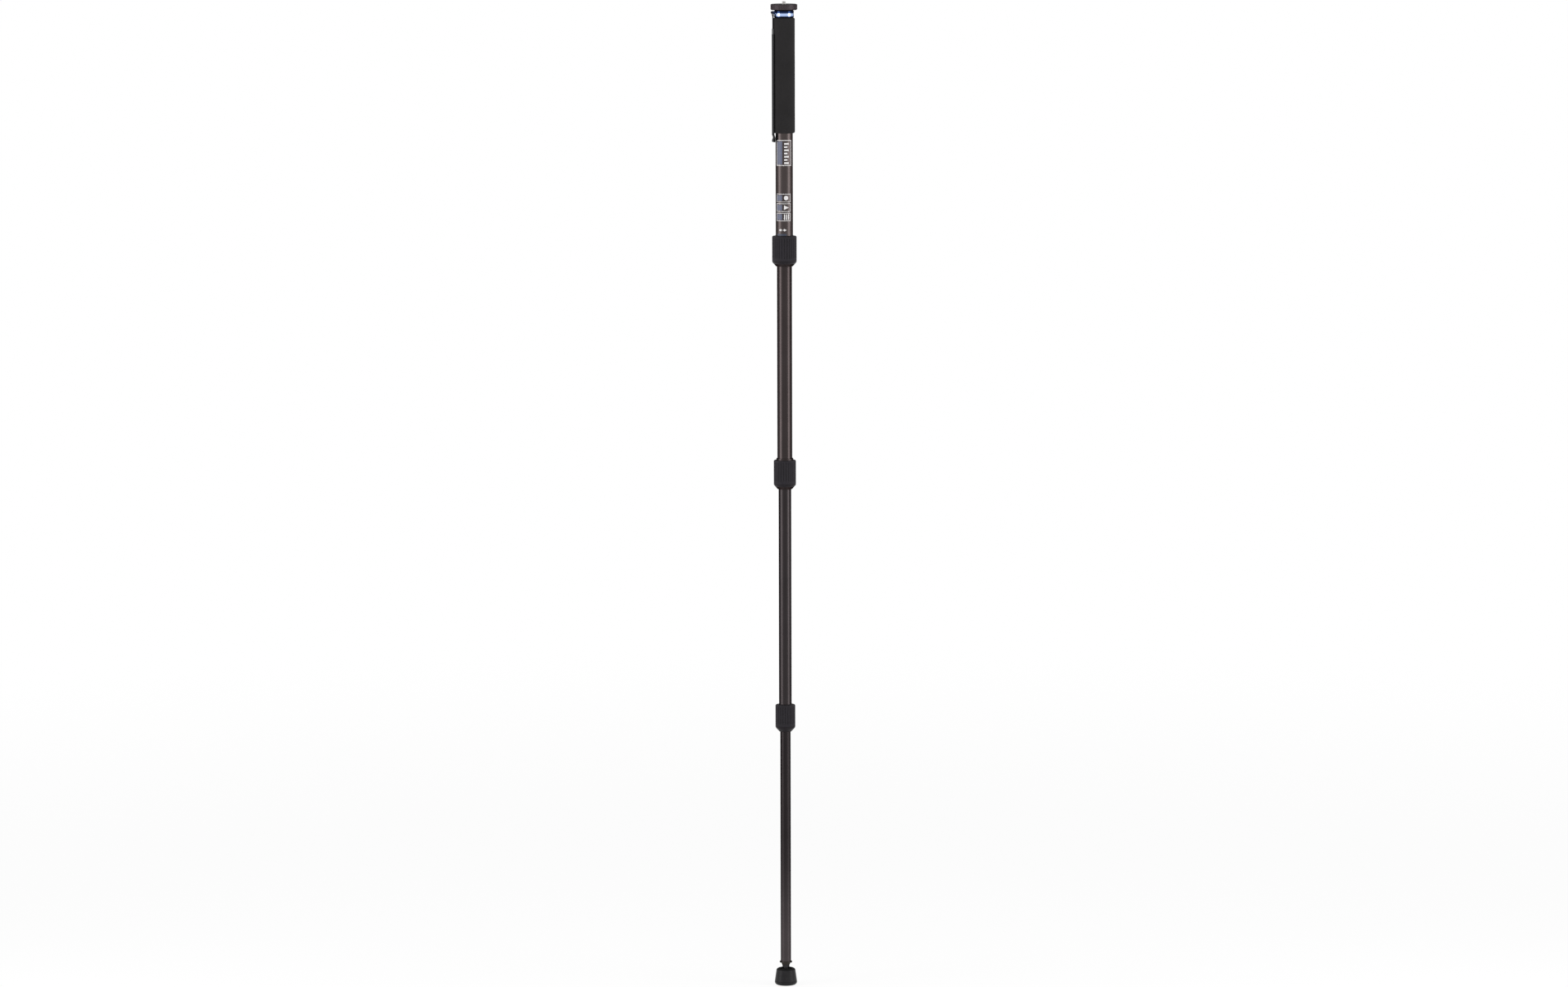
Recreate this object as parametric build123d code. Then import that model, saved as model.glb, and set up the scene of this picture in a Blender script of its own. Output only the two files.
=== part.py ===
from build123d import *

import os
from math import ceil, copysign, pi, sqrt

# A four-section camera monopod with three twist locks, a foam grip, a wrist strap and a ball-jointed
# rubber foot, drawn out to its full height. Millimetres, +Z up the pole, +X to the right of someone who
# looks along +Y. The origin is on the floor, under the centre of the foot.

# Tubes, from the widest down
upper_tube_radius = 14.0
tube_wall = 1.2
tube_gap = 0.65
upper_bare_length = 165.8
second_bare_length = 313.3
third_bare_length = 354.1
fourth_bare_length = 382.2
second_overlap = 36.0
third_overlap = 26.7
fourth_overlap = 23.8

# Fits
glue_gap = 0.05
slide_clearance = 0.08
seat_clearance = 0.1
stop_clearance = 0.2

# Twist locks, with the widest one first. A bare metal neck stands above each lock's rubber
lock_heights = (50.1, 50.5, 45.2)
neck_heights = (0.8, 3.0, 0.8)
neck_wall = 1.3
taper_height = 6.8
taper_rounding = 4.0
taper_band = 2.2
ferrule_wall = 1.9
thread_clearance = 0.1
core_wall = 1.85
core_lip_height = 3.5
core_lip_clearance = 0.35
neck_rounding = 0.3
sleeve_wall = 2.0
sleeve_rounding = 2.0
sleeve_edge_rounding = 0.5
sleeve_cap = 1.5
mouth_clearance = 0.4
mouth_lip = 1.2
mouth_rounding = 0.4
rib_pitch = 4.2
groove_radius = 0.95
groove_depth = 0.7
smooth_band_below = 4.0
smooth_band_above = 2.6

# Split clamping bush inside each lock
wiper_rise = 2.0
wiper_height = 2.2
wiper_wall = 1.5
wiper_web = 1.0
bush_wall = 1.0
bush_toe_wall = 1.15
bush_shoulder = 1.3
bush_cone_height = 7.6
bush_sleeve_height = 9.2
bush_slot_width = 2.2
bush_kerf_width = 0.9
bush_kerf_count = 6
bush_key_width = 3.0
bush_key_height = 4.0
bush_key_reach = 1.3
key_clearance = 0.1

# Guide shims round the top of each sliding tube
shim_recess = 3.4
shim_split = 2.0
shim_peg_radius = 2.0
peg_clearance = 0.08

# Foot
foot_height = 27.5
foot_base_radius = 19.1
foot_top_radius = 15.2
foot_base_rounding = 5.0
foot_top_rounding = 4.0
foot_floor = 11.0
foot_rim_wall = 4.4
rim_line_height = 6.3
rim_line_radius = 0.45
tread_groove_width = 1.8
tread_groove_depth = 1.0
tread_inner_radius = 7.0
tread_outer_radius = 11.0
ball_radius = 7.0
ball_clearance = 0.08
liner_wall = 2.3
liner_top_rise = 3.6
liner_bottom_drop = 6.2
socket_lip_rise = 4.0
neck_radius = 3.4
hex_clear_of_foot = 1.9
hex_height = 4.0
hex_across_flats = 10.0
stud_shank_radius = 3.0
stud_shank_length = 20.0

# Plug in the lowest tube
boss_height = 3.7
boss_top_radius = 7.0
boss_bottom_radius = 6.5
boss_rounding = 0.6
plug_flange_thickness = 2.0
plug_flange_overhang = 1.8
plug_flange_rounding = 0.5
foot_plug_length = 24.0
spigot_chamfer = 0.8

# Grip and head
grip_length = 186.7
grip_wall = 3.55
grip_rounding = 3.0
head_collar_height = 12.1
head_collar_wall = 2.15
head_collar_waist = 0.45
head_collar_lower_bevel = 1.1
head_collar_upper_bevel = 1.9
head_plug_length = 20.5
head_flange_thickness = 1.5

# Camera plate
plate_radius = 21.6
plate_thickness = 9.2
plate_top_rounding = 0.8
plate_bottom_rounding = 2.0
flute_pitch = 2.3
flute_radius = 0.8
flute_depth = 0.35
pad_margin = 1.6
pad_recess = 0.8
pad_thickness = 1.2
pad_rounding = 0.3
pad_groove_width = 0.7
pad_groove_depth = 0.4
pad_groove_pitch = 2.9
plate_boss_wall = 1.1

# Reversible camera screw, quarter inch above and three eighths below
screw_radius = 3.175
screw_reach = 5.0
screw_tip_chamfer = 0.5
screw_flange_radius = 6.0
screw_flange_thickness = 2.2
screw_slot_width = 1.4
screw_slot_depth = 1.0
screw_slot_margin = 1.0
screw_tail_radius = 4.7625
screw_tail_engagement = 9.0
tail_clearance = 0.1
tapped_hole_spare = 1.0

# Screws that hold the plate to its plug
plate_screw_count = 3
plate_screw_radius = 1.5
plate_screw_head_radius = 2.75
plate_screw_head_height = 1.6
plate_screw_engagement = 8.0
plate_screw_margin = 0.35

# Wrist strap, hung from two ears on the head collar
strap_azimuth = 196.0
strap_pin_radius = 1.0
strap_pin_reach = 2.6
strap_pin_drop = 4.0
ear_radius = 2.2
ear_thickness = 1.5
ear_side_clearance = 0.2
tape_thickness = 0.5
tape_width = 5.0
tape_clearance = 0.1
strap_clearance = 0.25
strap_width = 12.0
strap_layer_gap = 0.08
strap_bend = 2.5
keeper_drop = 18.0
keeper_length = 9.0
keeper_width = 8.0
keeper_cover = 0.35
keeper_rounding = 0.12
strap_hang = 14.1
strap_swing = 1.6
bight_radius = 1.05
bight_height = 5.0

# A cut that must pass right through its piece runs on by this much
overrun = 1.0


def turned(*corners):
    """Turns a closed outline about the pole. A corner is (radius, height) or (radius, height, rounding)."""
    points = [(corner[0], 0, corner[1]) for corner in corners]
    roundings = [corner[2] if len(corner) > 2 else 0 for corner in corners]
    return revolve(make_face(FilletPolyline(*points, radius=roundings, close=True)), Axis.Z)


def ring(inner, outer, low, high):
    """A plain ring, or a disc where the inner radius is zero."""
    return turned((inner, low), (outer, low), (outer, high), (inner, high))


def cylinder(radius, low, high, x=0, y=0):
    """An upright cylinder between two heights."""
    return Pos(x, y, low) * Cylinder(radius, high - low, align=(Align.CENTER, Align.CENTER, Align.MIN))


def block(x_low, x_high, width, low, high):
    """A box from x_low to x_high that lies evenly about the XZ plane."""
    size = (x_high - x_low, width, high - low)
    return Pos(x_low, 0, low) * Box(*size, align=(Align.MIN, Align.CENTER, Align.MIN))


def spread(shape, count, first=0):
    """Copies of a shape, evenly turned about the pole, as one group."""
    return Compound([Rot(0, 0, first + 360 * index / count) * shape for index in range(count)])


def write(name, shape):
    """Keeps one piece, or one group of like pieces, under its name."""
    export_step(shape, f"parts/{name}.step")


class TwistLock:
    """Radii and heights in the lock between one tube and the next one, which slides in it."""

    def __init__(self, mouth, tube_radius, height, neck_height):
        self.mouth = mouth
        self.top = mouth + height
        self.tube_radius = tube_radius
        self.slider_radius = tube_radius - tube_wall - tube_gap
        self.bush_bore = self.slider_radius + slide_clearance
        self.bush_outer = self.bush_bore + bush_wall
        self.bush_bottom = mouth + wiper_rise + wiper_height + wiper_web
        self.shoulder = self.bush_bottom + bush_cone_height
        self.bush_top = self.shoulder + bush_sleeve_height
        self.ferrule_bottom = self.shoulder + seat_clearance
        self.tube_end = self.bush_top + seat_clearance
        self.ferrule_outer = tube_radius + ferrule_wall
        self.core_bore = self.ferrule_outer + thread_clearance
        self.core_outer = self.core_bore + core_wall
        self.neck_bore = tube_radius + core_lip_clearance
        self.neck_outer = self.neck_bore + neck_wall
        self.sleeve_top = self.top - neck_height
        self.core_shoulder = self.sleeve_top - sleeve_cap
        self.core_lip = self.sleeve_top - core_lip_height
        self.ferrule_top = self.core_lip - seat_clearance
        self.sleeve_outer = self.core_outer + glue_gap + sleeve_wall
        self.taper_top = mouth + taper_height
        self.sleeve_bottom = self.taper_top + taper_band
        self.toe_radius = self.bush_bore + bush_toe_wall
        self.shoulder_radius = self.bush_outer + bush_shoulder

    def ferrule(self):
        """The threaded sleeve glued on the wide tube's end, notched for the bush's key."""
        lower_bore = self.bush_outer + seat_clearance
        upper_bore = self.tube_radius + glue_gap
        sleeve = turned(
            (lower_bore, self.ferrule_bottom),
            (self.ferrule_outer, self.ferrule_bottom),
            (self.ferrule_outer, self.ferrule_top),
            (upper_bore, self.ferrule_top),
            (upper_bore, self.tube_end),
            (lower_bore, self.tube_end),
        )
        notch_width = bush_key_width + 2 * key_clearance
        notch_top = self.ferrule_bottom + bush_key_height + key_clearance
        reach = self.ferrule_outer + overrun
        return sleeve - block(0, reach, notch_width, self.ferrule_bottom - overrun, notch_top)

    def clamp_bush(self):
        """The split tapered bush that closes on the sliding tube, with its kerfs and its key."""
        body = turned(
            (self.bush_bore, self.bush_bottom),
            (self.toe_radius, self.bush_bottom),
            (self.shoulder_radius, self.shoulder),
            (self.bush_outer, self.shoulder),
            (self.bush_outer, self.bush_top),
            (self.bush_bore, self.bush_top),
        )
        middle = (self.bush_bore + self.bush_outer) / 2
        key_reach = self.bush_outer + bush_key_reach
        body += block(middle, key_reach, bush_key_width, self.shoulder, self.ferrule_bottom + bush_key_height)
        reach = self.shoulder_radius + overrun
        slot = block(0, reach, bush_slot_width, self.bush_bottom - overrun, self.bush_top + overrun)
        kerf = block(0, reach, bush_kerf_width, self.bush_bottom - overrun, self.shoulder)
        body -= Rot(0, 0, 180) * slot
        return body - spread(kerf, bush_kerf_count, 180 / bush_kerf_count)

    def core(self):
        """The metal collar: neck, thread bore, inner cone and tapered mouth, turned as one outline."""
        mouth_radius = self.slider_radius + mouth_clearance
        wiper_outer = self.slider_radius + slide_clearance + wiper_wall
        groove_low = self.mouth + wiper_rise
        groove_high = groove_low + wiper_height
        cone_bore = self.toe_radius + thread_clearance
        return turned(
            (mouth_radius, self.mouth),
            (mouth_radius + mouth_lip, self.mouth, mouth_rounding),
            (self.sleeve_outer, self.taper_top, taper_rounding),
            (self.sleeve_outer, self.sleeve_bottom),
            (self.core_outer, self.sleeve_bottom),
            (self.core_outer, self.core_shoulder),
            (self.neck_outer, self.core_shoulder),
            (self.neck_outer, self.top, neck_rounding),
            (self.neck_bore, self.top, neck_rounding),
            (self.neck_bore, self.core_lip),
            (self.core_bore, self.core_lip),
            (self.core_bore, self.shoulder),
            (self.shoulder_radius + thread_clearance, self.shoulder),
            (cone_bore, self.bush_bottom - seat_clearance),
            (mouth_radius, self.bush_bottom - seat_clearance),
            (mouth_radius, groove_high),
            (wiper_outer, groove_high),
            (wiper_outer, groove_low),
            (mouth_radius, groove_low),
        )

    def sleeve(self):
        """The ribbed rubber grip, closed in round the neck: one groove between each two ribs."""
        bore = self.core_outer + glue_gap
        cap_bore = self.neck_outer + glue_gap
        cap_floor = self.core_shoulder + glue_gap
        body = turned(
            (bore, self.sleeve_bottom),
            (self.sleeve_outer, self.sleeve_bottom, sleeve_edge_rounding),
            (self.sleeve_outer, self.sleeve_top, sleeve_rounding),
            (cap_bore, self.sleeve_top, sleeve_edge_rounding),
            (cap_bore, cap_floor),
            (bore, cap_floor),
        )
        count = 2 * ceil(pi * self.sleeve_outer / rib_pitch)
        centre = self.sleeve_outer - groove_depth + groove_radius
        low = self.sleeve_bottom + smooth_band_below
        high = self.sleeve_top - smooth_band_above
        return body - spread(cylinder(groove_radius, low, high, x=centre), count, 180 / count)

    def wiper(self):
        """The soft ring in the mouth that keeps grit off the sliding tube."""
        bore = self.slider_radius + slide_clearance
        low = self.mouth + wiper_rise
        return ring(bore, bore + wiper_wall, low, low + wiper_height)


def guide_shims(lock, tube_top):
    """Two half shells round the sliding tube's top. Each has a peg in the tube's wall."""
    radius = lock.slider_radius
    low = lock.bush_top + stop_clearance
    high = tube_top - shim_recess
    outer = radius + tube_gap - slide_clearance
    shell = ring(radius + glue_gap / 2, outer, low, high)
    peg = Rot(0, 90, 0) * Cylinder(shim_peg_radius, outer, align=(Align.CENTER, Align.CENTER, Align.MIN))
    peg = Pos(0, 0, (low + high) / 2) * peg
    peg &= ring(radius - tube_wall, (radius + outer) / 2, low, high)
    half = block(shim_split / 2, outer + overrun, 2 * (outer + overrun), low, high)
    return spread((shell & half) + peg, 2)


def tube(radius, low, high):
    """A plain drawn tube."""
    return ring(radius - tube_wall, radius, low, high)


def sliding_tube(lock, low, tube_top):
    """A tube with a hole through each side for the pegs of its guide shims."""
    middle = (lock.bush_top + stop_clearance + tube_top - shim_recess) / 2
    span = 2 * (lock.slider_radius + overrun)
    hole = Pos(0, 0, middle) * Rot(0, 90, 0) * Cylinder(shim_peg_radius + peg_clearance, span)
    return tube(lock.slider_radius, low, tube_top) - hole


# Foot, from the floor up
liner_inner_radius = ball_radius + ball_clearance
liner_outer_radius = liner_inner_radius + liner_wall
socket_radius = liner_outer_radius + ball_clearance
ball_height = foot_floor + socket_radius
hex_bottom = foot_height + hex_clear_of_foot
hex_top = hex_bottom + hex_height
boss_top = hex_top + boss_height
flange_top = boss_top + plug_flange_thickness

# Locks, the lowest first in height and the widest first in number
tube_step = tube_wall + tube_gap
second_tube_radius = upper_tube_radius - tube_step
third_tube_radius = second_tube_radius - tube_step
mouth_3 = flange_top + fourth_bare_length
lock_3 = TwistLock(mouth_3, third_tube_radius, lock_heights[2], neck_heights[2])
mouth_2 = lock_3.top + third_bare_length
lock_2 = TwistLock(mouth_2, second_tube_radius, lock_heights[1], neck_heights[1])
mouth_1 = lock_2.top + second_bare_length
lock_1 = TwistLock(mouth_1, upper_tube_radius, lock_heights[0], neck_heights[0])
second_top = lock_1.bush_top + second_overlap
third_top = lock_2.bush_top + third_overlap
fourth_top = lock_3.bush_top + fourth_overlap

# Head
grip_bottom = lock_1.top + upper_bare_length
grip_top = grip_bottom + grip_length
grip_radius = upper_tube_radius + glue_gap + grip_wall
plate_bottom = grip_top + head_collar_height
plate_top = plate_bottom + plate_thickness
upper_tube_top = plate_bottom - head_flange_thickness
pad_floor = plate_top - pad_recess
pad_inner_radius = screw_flange_radius + tail_clearance + plate_boss_wall
pad_outer_radius = plate_radius - pad_margin
plate_screw_circle = pad_inner_radius + plate_screw_margin + plate_screw_head_radius
head_collar_radius = upper_tube_radius + glue_gap + head_collar_wall


def rubber_foot():
    """The bell-shaped foot: tapered wall, open recess above, spherical seat and a grooved tread."""
    recess_radius = foot_top_radius - foot_rim_wall
    recess_floor = ball_height + socket_lip_rise
    bell = turned(
        (0, 0),
        (foot_base_radius, 0, foot_base_rounding),
        (foot_top_radius, foot_height, foot_top_rounding),
        (recess_radius, foot_height, foot_rim_wall / 5),
        (recess_radius, recess_floor),
        (0, recess_floor),
    )
    bell -= Pos(0, 0, ball_height) * Sphere(socket_radius)
    slope_share = rim_line_height / foot_height
    line_radius = foot_base_radius - slope_share * (foot_base_radius - foot_top_radius)
    bell -= Pos(0, 0, rim_line_height) * Torus(line_radius, rim_line_radius)
    for inner in (tread_inner_radius, tread_outer_radius):
        bell -= ring(inner, inner + tread_groove_width, -overrun, tread_groove_depth)
    return bell


def socket_liner():
    """A slice of a spherical shell that turns on the ball and in the rubber."""
    slab = cylinder(liner_outer_radius + overrun, -liner_bottom_drop, liner_top_rise)
    shell = Sphere(liner_outer_radius) - Sphere(liner_inner_radius)
    return Pos(0, 0, ball_height) * (shell & slab)


def ball_stud():
    """Ball, neck, spanner flats and the shank that screws into the plug."""
    stud = Pos(0, 0, ball_height) * Sphere(ball_radius)
    stud += cylinder(neck_radius, ball_height, hex_bottom)
    corner_radius = hex_across_flats / sqrt(3)
    stud += extrude(Pos(0, 0, hex_bottom) * RegularPolygon(corner_radius, 6), hex_height)
    return stud + cylinder(stud_shank_radius, hex_top, hex_top + stud_shank_length)


def foot_plug():
    """The flanged plug glued in the lowest tube, tapped from below for the ball stud."""
    bore = stud_shank_radius + glue_gap
    spigot = upper_tube_radius - 3 * tube_step - tube_wall - glue_gap
    flange = upper_tube_radius - 3 * tube_step + plug_flange_overhang
    top = flange_top + foot_plug_length
    bore_top = hex_top + stud_shank_length + tapped_hole_spare
    body = turned(
        (0, hex_top),
        (boss_bottom_radius, hex_top, boss_rounding),
        (boss_top_radius, boss_top),
        (flange, boss_top, plug_flange_rounding),
        (flange, flange_top, plug_flange_rounding),
        (spigot, flange_top),
        (spigot, top, spigot_chamfer),
        (0, top),
    )
    return body - cylinder(bore, hex_top - overrun, bore_top)


def foam_grip():
    """The soft sleeve on the upper tube, rounded at both ends."""
    bore = upper_tube_radius + glue_gap
    return turned(
        (bore, grip_bottom),
        (grip_radius, grip_bottom, grip_rounding),
        (grip_radius, grip_top, grip_rounding),
        (bore, grip_top),
    )


def head_plug():
    """The plug in the upper tube's top that the camera plate is screwed to."""
    spigot = upper_tube_radius - tube_wall - glue_gap
    bottom = plate_bottom - head_plug_length
    body = turned(
        (0, bottom),
        (spigot, bottom, spigot_chamfer),
        (spigot, upper_tube_top),
        (upper_tube_radius, upper_tube_top),
        (upper_tube_radius, plate_bottom),
        (0, plate_bottom),
    )
    tapped_bottom = plate_bottom - screw_tail_engagement - tapped_hole_spare
    body -= cylinder(screw_tail_radius + tail_clearance, tapped_bottom, plate_bottom + overrun)
    hole_bottom = plate_bottom - plate_screw_engagement - seat_clearance
    hole = cylinder(plate_screw_radius + glue_gap, hole_bottom, plate_bottom + overrun, x=plate_screw_circle)
    return body - spread(hole, plate_screw_count, 90)


def waisted_band(inner, outer, low, high):
    """A ring whose outer face is drawn in at mid-height and bevelled at both edges."""
    bevel_low, bevel_high = low + head_collar_lower_bevel, high - head_collar_upper_bevel
    waist = (outer - head_collar_waist, 0, (bevel_low + bevel_high) / 2)
    edges = [
        Polyline((outer, 0, bevel_high), (outer - head_collar_upper_bevel, 0, high), (inner, 0, high),
                 (inner, 0, low), (outer - head_collar_lower_bevel, 0, low), (outer, 0, bevel_low)),
        ThreePointArc((outer, 0, bevel_low), waist, (outer, 0, bevel_high)),
    ]
    return revolve(make_face(edges), Axis.Z)


def strap_pin_place():
    """Distance from the pole's axis and height of the pin that holds the strap."""
    return head_collar_radius + strap_pin_reach, plate_bottom - strap_pin_drop


def head_collar():
    """The ring under the plate, with two ears for the strap's pin."""
    collar = waisted_band(upper_tube_radius + glue_gap, head_collar_radius, grip_top, plate_bottom)
    reach, height = strap_pin_place()
    root = head_collar_radius - head_collar_wall / 2
    inner_face = tape_width / 2 + ear_side_clearance
    outline = Pos(reach, height) * Circle(ear_radius)
    outline += Pos((root + reach) / 2, height) * Rectangle(reach - root, 2 * ear_radius)
    outline -= Pos(reach, height) * Circle(strap_pin_radius + glue_gap)
    for start in (inner_face, -inner_face - ear_thickness):
        ear_plane = Plane((0, start + ear_thickness, 0), x_dir=(1, 0, 0), z_dir=(0, -1, 0))
        collar += Rot(0, 0, strap_azimuth) * extrude(ear_plane * outline, ear_thickness)
    return collar


def strap_pin():
    """The pin across the two ears."""
    reach, height = strap_pin_place()
    length = tape_width + 2 * (ear_side_clearance + ear_thickness)
    pin = Rot(90, 0, 0) * Cylinder(strap_pin_radius, length)
    return Rot(0, 0, strap_azimuth) * Pos(reach, 0, height) * pin


def offset_side(path, shift):
    """Points and roundings of a line that runs beside a path at a fixed distance, to its left if positive."""
    points, roundings = [], []
    for index, (x, y, rounding) in enumerate(path):
        before = path[max(index - 1, 0)]
        after = path[min(index + 1, len(path) - 1)]
        arriving = Vector(x - before[0], y - before[1]) if index else Vector(after[0] - x, after[1] - y)
        leaving = Vector(after[0] - x, after[1] - y) if index < len(path) - 1 else arriving
        arriving, leaving = arriving.normalized(), leaving.normalized()
        turn = arriving.cross(leaving).Z
        left = Vector(-arriving.Y - leaving.Y, arriving.X + leaving.X)
        reach = shift * 2 / left.dot(left)
        points.append((x + reach * left.X, y + reach * left.Y))
        roundings.append(rounding - copysign(1, turn) * shift if rounding else 0)
    return points, roundings


def ribbon(path, width):
    """Woven tape of the strap's thickness along a path of (distance from axis, height, rounding)."""
    left, left_roundings = offset_side(path, tape_thickness / 2)
    right, right_roundings = offset_side(path, -tape_thickness / 2)
    outline = FilletPolyline(*left, *right[::-1], radius=left_roundings + right_roundings[::-1], close=True)
    upright = Plane((0, width / 2, 0), x_dir=(1, 0, 0), z_dir=(0, -1, 0))
    return Rot(0, 0, strap_azimuth) * extrude(upright * make_face(outline), width)


inner_layer = grip_radius + strap_clearance + tape_thickness / 2
outer_layer = inner_layer + tape_thickness + strap_layer_gap
keeper_top = plate_bottom - head_collar_height - keeper_drop
keeper_bottom = keeper_top - keeper_length


def strap_tape():
    """The narrow tape that loops over the pin and runs down into the keeper."""
    reach, height = strap_pin_place()
    loop = strap_pin_radius + tape_clearance + tape_thickness / 2
    bend_height = grip_top + head_collar_lower_bevel
    return ribbon(
        [
            (inner_layer, keeper_top, 0),
            (inner_layer, bend_height, strap_bend),
            (reach - loop, height - strap_pin_radius, strap_bend),
            (reach - loop, height + loop, loop - glue_gap),
            (reach + loop, height + loop, loop - glue_gap),
            (reach + loop, height - strap_pin_radius, strap_bend),
            (outer_layer, bend_height, strap_bend),
            (outer_layer, keeper_top, 0),
        ],
        tape_width,
    )


def strap_keeper():
    """The moulded clip in which the tape and the webbing meet."""
    low = inner_layer - tape_thickness / 2
    high = outer_layer + tape_thickness / 2 + keeper_cover
    clip = block(low, high, keeper_width, keeper_bottom, keeper_top)
    clip = fillet(clip.edges(), keeper_rounding)
    return Rot(0, 0, strap_azimuth) * clip


def wrist_strap():
    """The webbing loop, lying flat along the grip and folded back on itself at the bottom."""
    bottom = grip_bottom - strap_hang
    middle = (inner_layer + outer_layer) / 2 - strap_swing / 2
    narrow = middle - strap_swing / 2
    half_gap = (outer_layer - inner_layer) / 2
    return ribbon(
        [
            (inner_layer, keeper_bottom, 0),
            (inner_layer, grip_bottom - strap_bend, strap_bend),
            (narrow - half_gap, bottom + bight_height + strap_bend, strap_bend),
            (middle - bight_radius, bottom + bight_height / 2, strap_bend / 2),
            (middle - bight_radius, bottom, bight_radius - glue_gap),
            (middle + bight_radius, bottom, bight_radius - glue_gap),
            (middle + bight_radius, bottom + bight_height / 2, strap_bend / 2),
            (narrow + half_gap, bottom + bight_height + strap_bend, strap_bend),
            (outer_layer, grip_bottom - strap_bend, strap_bend),
            (outer_layer, keeper_bottom, 0),
        ],
        strap_width,
    )


def camera_plate():
    """The round plate with a coin edge, a recess for the pad and seats for its screws."""
    counterbore = screw_flange_radius + tail_clearance
    boss = pad_inner_radius - tail_clearance
    flange_seat = plate_top - screw_flange_thickness
    body = turned(
        (screw_tail_radius + tail_clearance, plate_bottom),
        (plate_radius, plate_bottom, plate_bottom_rounding),
        (plate_radius, plate_top, plate_top_rounding),
        (pad_outer_radius + tail_clearance, plate_top),
        (pad_outer_radius + tail_clearance, pad_floor),
        (boss, pad_floor),
        (boss, plate_top),
        (counterbore, plate_top),
        (counterbore, flange_seat),
        (screw_tail_radius + tail_clearance, flange_seat),
    )
    count = 6 * ceil(2 * pi * plate_radius / flute_pitch / 6)
    centre = plate_radius - flute_depth + flute_radius
    body -= spread(cylinder(flute_radius, plate_bottom - overrun, plate_top + overrun, x=centre), count)
    seat = plate_screw(screw_play=seat_clearance / 2)
    return body - spread(seat, plate_screw_count, 90)


def plate_screw(screw_play=0):
    """One countersunk screw, or with play its seat in the plate."""
    bottom = plate_bottom - plate_screw_engagement
    head = plate_screw_head_radius + screw_play
    shank = plate_screw_radius + screw_play
    body = turned(
        (0, bottom - screw_play),
        (shank, bottom - screw_play),
        (shank, pad_floor - plate_screw_head_height),
        (head, pad_floor),
        (0, pad_floor),
    )
    return Pos(plate_screw_circle, 0, 0) * body


def camera_pad():
    """The rubber ring that the camera sits on, with shallow ring grooves."""
    top = pad_floor + pad_thickness
    pad = turned(
        (pad_inner_radius, pad_floor),
        (pad_outer_radius, pad_floor),
        (pad_outer_radius, top, pad_rounding),
        (pad_inner_radius, top, pad_rounding),
    )
    room = pad_outer_radius - pad_inner_radius - pad_groove_width - 2 * pad_rounding
    count = int(room // pad_groove_pitch)
    first = (pad_inner_radius + pad_outer_radius - (count - 1) * pad_groove_pitch - pad_groove_width) / 2
    for index in range(count):
        inner = first + index * pad_groove_pitch
        pad -= ring(inner, inner + pad_groove_width, top - pad_groove_depth, top + overrun)
    return pad


def camera_screw():
    """The reversible screw: slim end up, flange with a coin slot each side of it, wide end in the plug."""
    flange_seat = plate_top - screw_flange_thickness
    flange = ring(0, screw_flange_radius, flange_seat, plate_top)
    slot_reach = screw_flange_radius + overrun
    slot_floor = plate_top - screw_slot_depth
    slot = block(-slot_reach, slot_reach, screw_slot_width, slot_floor, plate_top + overrun)
    slot -= cylinder(screw_radius + screw_slot_margin, flange_seat, plate_top + overrun)
    flange -= slot
    tip = plate_top + screw_reach
    upper = turned(
        (0, flange_seat),
        (screw_radius, flange_seat),
        (screw_radius, tip - screw_tip_chamfer),
        (screw_radius - screw_tip_chamfer, tip),
        (0, tip),
    )
    tail_bottom = plate_bottom - screw_tail_engagement
    return flange + upper + cylinder(screw_tail_radius, tail_bottom, flange_seat)


os.makedirs("parts", exist_ok=True)

write("rubber_foot", rubber_foot())
write("socket_liner", socket_liner())
write("ball_stud", ball_stud())
write("foot_plug", foot_plug())

for number, lock in ((1, lock_1), (2, lock_2), (3, lock_3)):
    write(f"ferrule_{number}", lock.ferrule())
    write(f"clamp_bush_{number}", lock.clamp_bush())
    write(f"lock_core_{number}", lock.core())
    write(f"lock_sleeve_{number}", lock.sleeve())
    write(f"lock_wiper_{number}", lock.wiper())

write("upper_tube", tube(upper_tube_radius, lock_1.tube_end, upper_tube_top))
sections = (
    ("second", lock_1, lock_2.tube_end, second_top),
    ("third", lock_2, lock_3.tube_end, third_top),
    ("fourth", lock_3, flange_top, fourth_top),
)
for name, lock, low, tube_top in sections:
    write(f"{name}_tube", sliding_tube(lock, low, tube_top))
    write(f"{name}_guide_shims", guide_shims(lock, tube_top))

write("foam_grip", foam_grip())
write("head_plug", head_plug())
write("head_collar", head_collar())
write("strap_pin", strap_pin())
write("strap_tape", strap_tape())
write("strap_keeper", strap_keeper())
write("wrist_strap", wrist_strap())
write("camera_plate", camera_plate())
write("plate_screws", spread(plate_screw(), plate_screw_count, 90))
write("camera_pad", camera_pad())
write("camera_screw", camera_screw())
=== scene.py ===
"""Looks of a four-section camera monopod: finishes, soft pieces, threads, printing, lamps and camera."""

import logging
import math
from dataclasses import dataclass, field, replace
from enum import Enum
from typing import Callable, Sequence

import bmesh
import bpy
from mathutils import Matrix, Vector


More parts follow.
